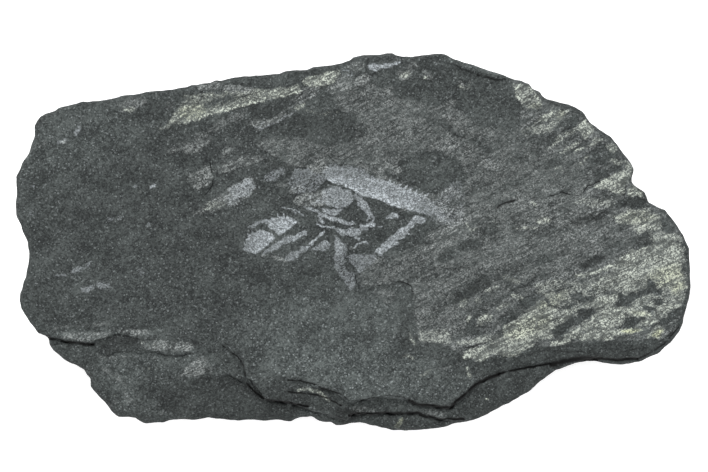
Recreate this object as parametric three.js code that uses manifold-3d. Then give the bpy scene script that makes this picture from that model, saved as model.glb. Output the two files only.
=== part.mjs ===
// A plate of dark shale split along the bedding, with flattened graptolites on its upper face.
//
// The stone is one piece. It is built as the real one formed: a stack of thin beds, each broken
// back to its own ragged edge, from which flakes have parted along the front and the rim.
// Millimetres, +Z up. The plate lies on its underside; X runs along it, and -Y is its front edge.
import * as THREE from "three";
import { mergeVertices } from "three/addons/utils/BufferGeometryUtils.js";
import Module from "manifold-3d";

// ---- driving dimensions -------------------------------------------------------------------------

const THICKNESS = 11; // underside to upper bedding face, at the middle of the plate
const SWELL = 0.3; // how far the bedding face rises and falls over the plate
const GRID = 2.6; // facet size of the bedding surfaces
const BEYOND = 12; // how far cutting solids reach past the stone
const NORMAL_SPAN = 3; // outline points on each side that set the direction a bed is cut back in

// The plate's widest edge, seen from above, anticlockwise from the back left corner.
const OUTLINE = [
  [-48.8, 19.6], [-49.4, 18.9], [-49.7, 18.0], [-49.7, 16.6], [-50.3, 14.8], [-50.6, 13.8],
  [-51.6, 12.3], [-52.1, 11.0], [-52.6, 10.2], [-52.5, 7.8], [-52.7, 5.2], [-52.6, 3.8],
  [-51.9, 2.6], [-51.4, 1.2], [-50.8, -0.1], [-50.6, -1.6], [-50.7, -3.4], [-51.1, -5.5],
  [-51.9, -8.0], [-52.1, -9.2], [-51.8, -10.4], [-51.3, -11.4], [-50.1, -13.0], [-49.1, -14.3],
  [-48.0, -14.8], [-47.6, -15.3], [-47.2, -16.4], [-46.7, -17.1], [-45.0, -18.5], [-43.9, -19.0],
  [-42.1, -20.0], [-41.7, -20.8], [-41.1, -21.4], [-41.0, -22.6], [-40.6, -23.2], [-39.1, -24.8],
  [-38.4, -25.7], [-37.8, -26.7], [-36.7, -27.5], [-35.2, -27.4], [-34.1, -27.6], [-33.4, -28.1],
  [-32.6, -28.4], [-29.8, -28.3], [-28.0, -27.8], [-25.0, -27.9], [-22.7, -27.5], [-21.1, -27.7],
  [-19.1, -28.0], [-15.5, -27.9], [-14.2, -28.1], [-11.7, -27.8], [-9.9, -28.1], [-8.4, -27.5],
  [-6.7, -27.3], [-5.1, -28.1], [-3.5, -28.3], [-2.7, -28.7], [-1.8, -28.8], [-0.6, -28.4],
  [1.0, -28.3], [3.4, -28.8], [4.9, -29.2], [6.1, -29.5], [9.9, -29.6], [12.6, -29.2],
  [14.7, -28.9], [15.8, -28.5], [17.1, -28.3], [19.0, -27.8], [20.7, -27.1], [23.9, -25.4],
  [25.9, -24.3], [27.7, -23.2], [28.8, -22.2], [29.3, -21.7], [31.7, -20.1], [34.7, -19.0],
  [36.5, -18.7], [37.8, -18.7], [38.9, -19.0], [42.1, -19.3], [43.2, -19.1], [44.6, -18.8],
  [46.0, -18.2], [47.5, -17.5], [48.5, -16.6], [49.4, -15.8], [50.7, -14.2], [51.2, -13.1],
  [51.5, -11.8], [52.3, -9.1], [52.6, -7.1], [52.4, -2.8], [52.3, -1.2], [51.4, 1.0],
  [50.0, 3.1], [49.2, 4.1], [48.7, 4.9], [48.0, 5.2], [46.9, 5.6], [46.1, 6.1],
  [45.8, 6.9], [45.4, 7.7], [43.6, 8.9], [43.4, 9.3], [43.5, 10.3], [43.7, 11.3],
  [43.2, 12.3], [41.7, 14.3], [40.1, 16.3], [39.4, 16.7], [38.5, 17.3], [36.8, 18.6],
  [36.2, 19.5], [35.7, 20.3], [34.9, 20.8], [33.5, 21.4], [31.5, 21.8], [30.2, 22.2],
  [29.5, 22.7], [29.0, 23.3], [27.9, 23.9], [27.4, 24.6], [26.2, 25.0], [22.1, 26.3],
  [18.0, 27.7], [15.8, 28.4], [14.4, 29.1], [13.6, 29.4], [12.9, 29.3], [10.1, 28.9],
  [7.7, 28.8], [6.6, 29.1], [6.1, 29.4], [5.2, 29.4], [4.0, 29.1], [1.6, 29.1],
  [0.0, 28.7], [-0.6, 28.2], [-2.6, 27.6], [-6.3, 27.2], [-7.4, 26.8], [-10.5, 26.6],
  [-11.6, 26.2], [-13.2, 26.0], [-18.4, 25.6], [-20.0, 25.2], [-21.4, 25.1], [-22.2, 24.8],
  [-25.9, 24.2], [-28.3, 23.7], [-32.1, 23.3], [-36.1, 22.7], [-38.4, 22.2], [-40.0, 21.9],
  [-42.2, 21.8], [-44.1, 21.3], [-45.9, 20.8], [-46.6, 20.3], [-48.0, 20.0],
];

// The beds, from the underside up. foot and head are how far a bed's edge lies back from the
// outline at its bottom and top, and ragged is how much that varies along the edge.
const BEDS = [
  { bottom: 0, top: 1.4, foot: 1.9, head: 1.2, ragged: 0.7, waves: 11 },
  { bottom: 1.4, top: 3.3, foot: 0.8, head: 0.5, ragged: 0.4, waves: 17 },
  { bottom: 3.3, top: 5.8, foot: 0.1, head: 0, ragged: 0, waves: 0 },
  { bottom: 5.8, top: 8.2, foot: 0.2, head: 0.3, ragged: 0.2, waves: 13 },
  { bottom: 8.2, top: 10, foot: 0.1, head: 0.3, ragged: 0.1, waves: 19 },
  { bottom: 10, top: THICKNESS + SWELL, foot: 0.4, head: 1.2, ragged: 0.2, waves: 9 },
];

// Where flakes have parted from the upper face. edge is the broken edge that is left, and the stone
// is lower on its right-hand side, down to a floor given by its height at `at` and its rise per
// millimetre along X and Y. The cut region is closed round the outside through `round`.
const PARTINGS = [
  {
    name: "first flake at the left front",
    edge: [
      [-50, -14.6], [-48, -14.8], [-46, -15.1], [-43.5, -15.8], [-41.3, -16.1], [-40.6, -15.9],
      [-40.2, -15.5], [-39.7, -15.2], [-38, -14.8], [-37.2, -14.3], [-36.6, -14.3], [-35, -14.8],
      [-33.5, -15.2], [-31, -15.1], [-28, -15.1], [-25.5, -15.4], [-23.4, -16.1], [-21.6, -16.2],
    ],
    round: [[-21.6, -32], [-54, -32], [-54, -14.6]],
    at: [-40, -16], height: 10.45, rise: [0.02, 0.01],
  },
  {
    name: "left front terrace",
    edge: [
      [-50, -14.9], [-47.6, -15], [-46, -15.3], [-43.5, -15.9], [-41.3, -16.2], [-40.3, -16.1],
      [-39.8, -16.8], [-39.2, -17.2], [-38.8, -17.8], [-38, -17.8], [-37.5, -17.4], [-36.5, -17.1],
      [-33, -17.3], [-30.4, -17.1], [-28.5, -17.7], [-27, -17.6], [-24, -17.3], [-22.4, -17.1],
      [-20.4, -16.6], [-19.2, -17.1], [-18.3, -17.8], [-17.6, -18.7], [-17.2, -19.5], [-17, -20.3],
      [-16.8, -21], [-16.2, -21.9], [-15.4, -22.5], [-14.9, -23], [-14.3, -23.5], [-13.9, -24.3],
    ],
    round: [[-13.9, -32], [-54, -32], [-54, -14.9]],
    at: [-30, -20], height: 9.85, rise: [0.012, 0.06],
  },
  {
    name: "flake under the left front terrace",
    edge: [
      [-31, -24.4], [-29.4, -22.7], [-27.6, -21.8], [-26, -21.2], [-24, -21.1], [-22, -21],
      [-20.3, -20.7], [-19.2, -20.6], [-18.6, -21.2], [-17.2, -22], [-16.6, -22.3], [-15.9, -23.3],
      [-15.3, -23.9], [-14.6, -24.4], [-13.2, -24.8], [-11, -25.1], [-9, -25.4], [-7.6, -25.8],
      [-6, -26.4], [-4.5, -26.9], [-2.5, -27.2], [-0.8, -27.9],
    ],
    round: [[-0.8, -32], [-31, -32]],
    at: [-16, -24], height: 9.0, rise: [-0.012, 0.05],
  },
  {
    name: "front edge of the fossil face",
    edge: [
      [-14.8, -24.2], [-14.3, -22.9], [-13.9, -22.4], [-13, -22], [-12, -21.5], [-11.2, -21.1],
      [-10.3, -21.4], [-9.8, -21.7], [-8.5, -21.7], [-7.5, -21.9], [-6.5, -22.4], [-5.5, -22.8],
      [-4.5, -22.9], [-3.5, -23.1], [-2.5, -23.6], [-1.7, -24.2], [-1.1, -24.8], [-0.2, -24.9],
      [1.5, -24.6], [4.5, -24.3], [6.7, -24.4], [8.2, -24.5], [9.3, -25.1], [10, -25.4],
      [12.5, -25.8], [15, -26], [16.2, -25.1], [17, -24.6], [18, -23.7], [19, -22.8],
      [20, -22], [21, -21.4], [22.5, -20.8], [24, -20.3], [27, -19.7], [29, -19.4],
      [31, -19], [33, -18.6], [37, -18.3], [41, -18.5], [44, -18.3], [46, -17.8], [49, -17.3],
    ],
    round: [[49, -32], [-14.8, -32]],
    at: [0, -25], height: 9.9, rise: [-0.03, 0.06],
  },
  {
    name: "lower step of the front edge",
    edge: [
      [-2.2, -29], [-1, -27.7], [0, -27], [3, -26.9], [5, -26.8], [8, -26.8], [10.3, -26.8],
      [11.5, -27.4], [12.5, -27.7], [15, -27.9], [17.2, -28], [18.6, -28.3], [20, -29],
    ],
    round: [[20, -33], [-2.2, -33]],
    at: [8, -28], height: 8.3, rise: [0, 0.05],
  },
];

// The underside's one scar: the region that a flake has left, and how deep it is.
const UNDERSIDE_SCAR = {
  region: [
    [-60, -10], [-46, -8.5], [-38, -4], [-35.5, 1.5], [-37, 6.5], [-43, 9], [-47, 13.5], [-60, 16],
  ],
  depth: 0.8,
};

// The rounded shoulder where the upper face falls to the front edge, right of the middle. It fades in
// along X from `from` to `full`, starts `reach` behind the line y = edge, and falls by `drop`.
const SHOULDER = { from: 16, full: 34, edge: -18.6, reach: 5, drop: 1.5 };

const SHALE = { color: "#4c5150", roughness: 0.85, metalness: 0 };

// ---- surfaces -----------------------------------------------------------------------------------

// How far the upper face falls on the rounded shoulder at the right front.
function shoulderDrop(x, y) {
  const along = THREE.MathUtils.smoothstep(x, SHOULDER.from, SHOULDER.full);
  const share = THREE.MathUtils.clamp(1 - (y - SHOULDER.edge) / SHOULDER.reach, 0, 1.2);
  return SHOULDER.drop * along * share * share;
}

// Height of the upper bedding face.
function faceHeight(x, y) {
  const swell = 0.6 * Math.sin(x / 17 + 0.7) * Math.cos(y / 12 - 0.3) + 0.4 * Math.sin(x / 9 - y / 14);
  return THICKNESS + SWELL * (swell - 0.5) - shoulderDrop(x, y);
}

// Height of the floor that a parted flake has left.
function floorHeight(parting, x, y) {
  const swell = 0.12 * Math.sin(x / 4.3 + y / 3.1);
  const [dx, dy] = [x - parting.at[0], y - parting.at[1]];
  return parting.height + parting.rise[0] * dx + parting.rise[1] * dy + swell;
}

// ---- solids -------------------------------------------------------------------------------------

const wasm = await Module();
wasm.setup();

// A closed geometry as a solid that can be joined and cut.
function solidOf(geometry) {
  geometry.deleteAttribute("normal");
  geometry.deleteAttribute("uv");
  const merged = mergeVertices(geometry, 1e-4);
  return new wasm.Manifold(
    new wasm.Mesh({
      numProp: 3,
      vertProperties: new Float32Array(merged.attributes.position.array),
      triVerts: new Uint32Array(merged.index.array),
    }),
  );
}

// A solid skinned over rings with the same number of points, listed from the bottom up.
function loft(rings) {
  const count = rings[0].length;
  const points = rings.flat();
  const faces = [];
  for (let level = 0; level < rings.length - 1; level++)
    for (let i = 0; i < count; i++) {
      const [a, b] = [level * count + i, level * count + ((i + 1) % count)];
      faces.push(a, b, b + count, a, b + count, a + count);
    }
  const cap = (ring) =>
    THREE.ShapeUtils.triangulateShape(ring.map((p) => new THREE.Vector2(p.x, p.y)), []);
  const last = (rings.length - 1) * count;
  for (const [a, b, c] of cap(rings[0])) faces.push(a, c, b);
  for (const [a, b, c] of cap(rings.at(-1))) faces.push(last + a, last + b, last + c);
  return solidOf(new THREE.BufferGeometry().setFromPoints(points).setIndex(faces));
}

// A block that fills the space above or below a surface.
function blockAt(heightAt, side) {
  const [width, depth] = [105 + 2 * BEYOND, 59 + 2 * BEYOND];
  const across = Math.round(width / GRID);
  const deep = Math.round(depth / GRID);
  const geometry = new THREE.BoxGeometry(width, depth, 2, across, deep, 1);
  const position = geometry.getAttribute("position");
  for (let i = 0; i < position.count; i++) {
    const onSurface = Math.sign(position.getZ(i)) !== side;
    const far = side > 0 ? THICKNESS + BEYOND : -BEYOND;
    position.setZ(i, onSurface ? heightAt(position.getX(i), position.getY(i)) : far);
  }
  return solidOf(geometry);
}

// The outline moved inwards by inset(i) at each point i, at height z.
function ringAt(inset, z) {
  const count = OUTLINE.length;
  return OUTLINE.map(([x, y], i) => {
    const before = OUTLINE[(i - NORMAL_SPAN + count) % count];
    const after = OUTLINE[(i + NORMAL_SPAN) % count];
    const along = new THREE.Vector2(after[0] - before[0], after[1] - before[1]).normalize();
    return new THREE.Vector3(x - along.y * inset(i), y + along.x * inset(i), z);
  });
}

// One bed: a thin slab broken back from the outline.
function bedSolid({ bottom, top, foot, head, ragged, waves }) {
  const wobble = (i) => {
    const turn = (2 * Math.PI * i) / OUTLINE.length;
    return ragged * (0.6 * Math.sin(waves * turn + waves) + 0.4 * Math.sin(2.6 * waves * turn));
  };
  const inset = (base) => (i) => Math.max(0, base + wobble(i));
  const sunk = bottom > 0 ? 0.2 : 0; // a bed reaches a little into the one below, so that they join
  return loft([ringAt(inset(foot), bottom - sunk), ringAt(inset(head), top)]);
}

// A region seen from above, as an upright prism.
function prism(points, bottom, top) {
  const flat = points.map(([x, y]) => new THREE.Vector2(x, y));
  if (THREE.ShapeUtils.isClockWise(flat)) flat.reverse();
  return loft([bottom, top].map((z) => flat.map((p) => new THREE.Vector3(p.x, p.y, z))));
}

function makePlate() {
  let stone = BEDS.map(bedSolid).reduce((made, bed) => made.add(bed));
  stone = stone.intersect(blockAt(faceHeight, -1));
  for (const parting of PARTINGS) {
    const region = prism([...parting.edge, ...parting.round], 0, THICKNESS + BEYOND);
    const above = blockAt((x, y) => floorHeight(parting, x, y), 1);
    stone = stone.subtract(region.intersect(above));
  }
  return stone.subtract(prism(UNDERSIDE_SCAR.region, -BEYOND, UNDERSIDE_SCAR.depth));
}

// The solid as a geometry centred on its own box, with its underside at z = 0.
function geometryOf(solid) {
  const mesh = solid.getMesh();
  const geometry = new THREE.BufferGeometry();
  geometry.setAttribute("position", new THREE.BufferAttribute(mesh.vertProperties, 3));
  geometry.setIndex(new THREE.BufferAttribute(mesh.triVerts, 1));
  geometry.computeBoundingBox();
  const { min, max } = geometry.boundingBox;
  geometry.translate(-(min.x + max.x) / 2, -(min.y + max.y) / 2, -min.z);
  geometry.computeVertexNormals();
  return geometry;
}

const plate = new THREE.Mesh(geometryOf(makePlate()), new THREE.MeshStandardMaterial(SHALE));
plate.name = "shale_plate";

const group = new THREE.Group();
group.add(plate);

export default group;
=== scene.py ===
"""A plate of dark shale, split along the bedding, with flattened graptolites on its upper face.

The stone is one piece, so it is one mesh: the split face with the ledges that flakes have left, the
broken edge with its thin beds, and the underside. The fossils are films that are thinner than a
hair. They are laid on the face as painted fields that the material reads.

Shapes are given in millimetres on the plate's own plan: X runs along the plate, Y from its front
edge to its back edge, and the plan's zero is where the outline was drawn from.
"""

import math

import bpy
import numpy as np
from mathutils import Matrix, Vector
from mathutils.geometry import delaunay_2d_cdt
from mathutils.kdtree import KDTree


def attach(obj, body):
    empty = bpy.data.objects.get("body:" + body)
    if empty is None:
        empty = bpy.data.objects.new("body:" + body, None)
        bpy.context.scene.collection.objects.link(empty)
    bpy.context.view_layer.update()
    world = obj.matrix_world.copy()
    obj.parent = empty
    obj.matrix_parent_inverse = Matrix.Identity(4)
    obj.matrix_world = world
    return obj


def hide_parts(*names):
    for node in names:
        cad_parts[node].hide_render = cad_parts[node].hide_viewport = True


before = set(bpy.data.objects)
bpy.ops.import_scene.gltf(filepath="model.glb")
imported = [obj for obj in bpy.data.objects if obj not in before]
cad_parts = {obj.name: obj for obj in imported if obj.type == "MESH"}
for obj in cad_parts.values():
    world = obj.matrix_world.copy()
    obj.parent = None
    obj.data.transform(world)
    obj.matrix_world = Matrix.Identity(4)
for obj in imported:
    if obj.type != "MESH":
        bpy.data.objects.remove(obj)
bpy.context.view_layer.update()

MM = 0.001  # metres in a millimetre

# ---- the stone: driving dimensions in millimetres ------------------------------------------------

THICKNESS = 11  # underside to split face, at the middle of the plate
SWELL = 0.3  # how far the split face rises and falls over the plate
LIP_REACH = 1.6  # how far from a crack the stone that it lifts falls back
CRACK_DEPTH = 0.5  # of the darkest cracks
GAPE_WIDTH = 0.12  # of the gap between beds at the foot of a ledge
GAPE_DEPTH = 0.25

EDGE_TOP = THICKNESS - 0.9  # where the broken edge begins, under the chips of its upper side
BED_THICKNESS = (0.3, 1.25)  # of the beds that show in the broken edge
LAST_BED = 0.4  # a thinner one at the foot is part of the bed above it
BED_BACK = 0.45  # how far a bed may lie back
FOOT_BACK = 1.5  # how far the foot of the edge lies back
FOOT_HEIGHT = 2.6  # and from which height on

FILM_STEP = 0.19  # spacing of the mesh under the brightest fossils
FACE_STEP = 0.29  # under the other fossils
PLAIN_STEP = 0.42  # under the bare shale on the left
RIM_STEP = 0.34  # round the outline
LINE_STEP = 0.2  # along ledges and cracks
UNDER_STEP = 1.3  # on the underside

# The plate's widest edge, seen from above, anticlockwise from the back left corner.
OUTLINE = [
    (-48.8, 19.6), (-49.4, 18.9), (-49.7, 18.0), (-49.7, 16.6), (-50.3, 14.8), (-50.6, 13.8),
    (-51.6, 12.3), (-52.1, 11.0), (-52.6, 10.2), (-52.5, 7.8), (-52.7, 5.2), (-52.6, 3.8),
    (-51.9, 2.6), (-51.4, 1.2), (-50.8, -0.1), (-50.6, -1.6), (-50.7, -3.4), (-51.1, -5.5),
    (-51.9, -8.0), (-52.1, -9.2), (-51.8, -10.4), (-51.3, -11.4), (-50.1, -13.0), (-49.1, -14.3),
    (-48.0, -14.8), (-47.6, -15.3), (-47.2, -16.4), (-46.7, -17.1), (-45.0, -18.5), (-43.9, -19.0),
    (-42.1, -20.0), (-41.7, -20.8), (-41.1, -21.4), (-41.0, -22.6), (-40.6, -23.2), (-39.1, -24.8),
    (-38.4, -25.7), (-37.8, -26.7), (-36.7, -27.5), (-35.2, -27.4), (-34.1, -27.6), (-33.4, -28.1),
    (-32.6, -28.4), (-29.8, -28.3), (-28.0, -27.8), (-25.0, -27.9), (-22.7, -27.5), (-21.1, -27.7),
    (-19.1, -28.0), (-15.5, -27.9), (-14.2, -28.1), (-11.7, -27.8), (-9.9, -28.1), (-8.4, -27.5),
    (-6.7, -27.3), (-5.1, -28.1), (-3.5, -28.3), (-2.7, -28.7), (-1.8, -28.8), (-0.6, -28.4),
    (1.0, -28.3), (3.4, -28.8), (4.9, -29.2), (6.1, -29.5), (9.9, -29.6), (12.6, -29.2),
    (14.7, -28.9), (15.8, -28.5), (17.1, -28.3), (19.0, -27.8), (20.7, -27.1), (23.9, -25.4),
    (25.9, -24.3), (27.7, -23.2), (28.8, -22.2), (29.3, -21.7), (31.7, -20.1), (34.7, -19.0),
    (36.5, -18.7), (37.8, -18.7), (38.9, -19.0), (42.1, -19.3), (43.2, -19.1), (44.6, -18.8),
    (46.0, -18.2), (47.5, -17.5), (48.5, -16.6), (49.4, -15.8), (50.7, -14.2), (51.2, -13.1),
    (51.5, -11.8), (52.3, -9.1), (52.6, -7.1), (52.4, -2.8), (52.3, -1.2), (51.4, 1.0),
    (50.0, 3.1), (49.2, 4.1), (48.7, 4.9), (48.0, 5.2), (46.9, 5.6), (46.1, 6.1),
    (45.8, 6.9), (45.4, 7.7), (43.6, 8.9), (43.4, 9.3), (43.5, 10.3), (43.7, 11.3),
    (43.2, 12.3), (41.7, 14.3), (40.1, 16.3), (39.4, 16.7), (38.5, 17.3), (36.8, 18.6),
    (36.2, 19.5), (35.7, 20.3), (34.9, 20.8), (33.5, 21.4), (31.5, 21.8), (30.2, 22.2),
    (29.5, 22.7), (29.0, 23.3), (27.9, 23.9), (27.4, 24.6), (26.2, 25.0), (22.1, 26.3),
    (18.0, 27.7), (15.8, 28.4), (14.4, 29.1), (13.6, 29.4), (12.9, 29.3), (10.1, 28.9),
    (7.7, 28.8), (6.6, 29.1), (6.1, 29.4), (5.2, 29.4), (4.0, 29.1), (1.6, 29.1),
    (0.0, 28.7), (-0.6, 28.2), (-2.6, 27.6), (-6.3, 27.2), (-7.4, 26.8), (-10.5, 26.6),
    (-11.6, 26.2), (-13.2, 26.0), (-18.4, 25.6), (-20.0, 25.2), (-21.4, 25.1), (-22.2, 24.8),
    (-25.9, 24.2), (-28.3, 23.7), (-32.1, 23.3), (-36.1, 22.7), (-38.4, 22.2), (-40.0, 21.9),
    (-42.2, 21.8), (-44.1, 21.3), (-45.9, 20.8), (-46.6, 20.3), (-48.0, 20.0),
]

# Where flakes have parted from the split face. The stone is lower on the right-hand side of each
# edge, down to a floor given by its height at `at` and its rise per millimetre along X and Y.
# `round` closes the region outside the stone, and `face` is how wide the broken step is on plan.
PARTINGS = [
    {   # the first flake at the left front
        "edge": [
            (-50, -14.6), (-48, -14.8), (-46, -15.1), (-43.5, -15.8), (-41.3, -16.1), (-40.6, -15.9),
            (-40.2, -15.5), (-39.7, -15.2), (-38, -14.8), (-37.2, -14.3), (-36.6, -14.3),
            (-35, -14.8), (-33.5, -15.2), (-31, -15.1), (-28, -15.1), (-25.5, -15.4),
            (-23.4, -16.1), (-21.6, -16.2),
        ],
        "round": [(-21.6, -32), (-54, -32), (-54, -14.6)],
        "at": (-40, -16), "height": 10.5, "rise": (0.02, 0.03), "face": 0.16, "starts": (-70, -60),
    },
    {   # the left front terrace
        "edge": [
            (-50, -14.9), (-47.6, -15), (-46, -15.3), (-43.5, -15.9), (-41.3, -16.2), (-40.3, -16.1),
            (-39.8, -16.8), (-39.2, -17.2), (-38.8, -17.8), (-38, -17.8), (-37.5, -17.4),
            (-36.5, -17.1), (-33, -17.3), (-30.4, -17.1), (-28.5, -17.7), (-27, -17.6),
            (-24, -17.3), (-22.4, -17.1), (-20.4, -16.6), (-19.2, -17.1), (-18.3, -17.8),
            (-17.6, -18.7), (-17.2, -19.5), (-17, -20.3), (-16.8, -21), (-16.2, -21.9),
            (-15.4, -22.5), (-14.9, -23), (-14.3, -23.5), (-13.9, -24.3),
        ],
        "round": [(-13.9, -32), (-54, -32), (-54, -14.9)],
        "at": (-30, -20), "height": 10.1, "rise": (0.012, 0.09), "face": 0.18, "starts": (-70, -60),
    },
    {   # the flake under the left front terrace
        "edge": [
            (-31, -24.4), (-29.4, -22.7), (-27.6, -21.8), (-26, -21.2), (-24, -21.1), (-22, -21),
            (-20.3, -20.7), (-19.2, -20.6), (-18.6, -21.2), (-17.2, -22), (-16.6, -22.3),
            (-15.9, -23.3), (-15.3, -23.9), (-14.6, -24.4), (-13.2, -24.8), (-11, -25.1),
            (-9, -25.4), (-7.6, -25.8), (-6, -26.4), (-4.5, -26.9), (-2.5, -27.2), (-0.8, -27.9),
        ],
        "round": [(-0.8, -32), (-31, -32)],
        "at": (-16, -24), "height": 9.25, "rise": (-0.012, 0.09), "face": 0.2, "starts": (-23, -18),
    },
    {   # the front edge of the fossil face
        "edge": [
            (-14.8, -24.2), (-14.3, -22.9), (-13.9, -22.4), (-13, -22), (-12, -21.5), (-11.2, -21.1),
            (-10.3, -21.4), (-9.8, -21.7), (-8.5, -21.7), (-7.5, -21.9), (-6.5, -22.4),
            (-5.5, -22.8), (-4.5, -22.9), (-3.5, -23.1), (-2.5, -23.6), (-1.7, -24.2),
            (-1.1, -24.8), (-0.2, -24.9), (1.5, -24.6), (4.5, -24.3), (6.7, -24.4), (8.2, -24.5),
            (9.3, -25.1), (10, -25.4), (12.5, -25.8), (15, -26), (16.2, -25.1), (17, -24.6),
            (18, -23.7), (19, -22.8), (20, -22), (21, -21.4), (22.5, -20.8), (24, -20.3),
            (27, -19.7), (29, -19.4), (31, -19), (33, -18.6), (37, -18.3), (41, -18.5),
            (44, -18.3), (46, -17.8), (49, -17.3),
        ],
        "round": [(49, -32), (-14.8, -32)],
        "at": (0, -25), "height": 9.95, "rise": (-0.02, 0.12), "face": 0.2, "starts": (-13, -7),
    },
    {   # the lower step of the front edge
        "edge": [
            (-2.2, -29), (-1, -27.7), (0, -27), (3, -26.9), (5, -26.8), (8, -26.8), (10.3, -26.8),
            (11.5, -27.4), (12.5, -27.7), (15, -27.9), (17.2, -28), (18.6, -28.3), (20, -29),
        ],
        "round": [(20, -33), (-2.2, -33)],
        "at": (8, -28), "height": 8.7, "rise": (0, 0.1), "face": 0.2, "starts": (-4, 0),
    },
]

# The rounded shoulder where the split face falls to the front edge, right of the middle.
SHOULDER = {"from": 16, "full": 34, "edge": -18.6, "reach": 5, "drop": 1.5}

# The underside's scar, where a flake has parted, and how deep it is.
SCAR = [(-60, -10), (-46, -8.5), (-38, -4), (-35.5, 1.5), (-37, 6.5), (-43, 9), (-47, 13.5), (-60, 16)]
SCAR_DEPTH = 0.8

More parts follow.
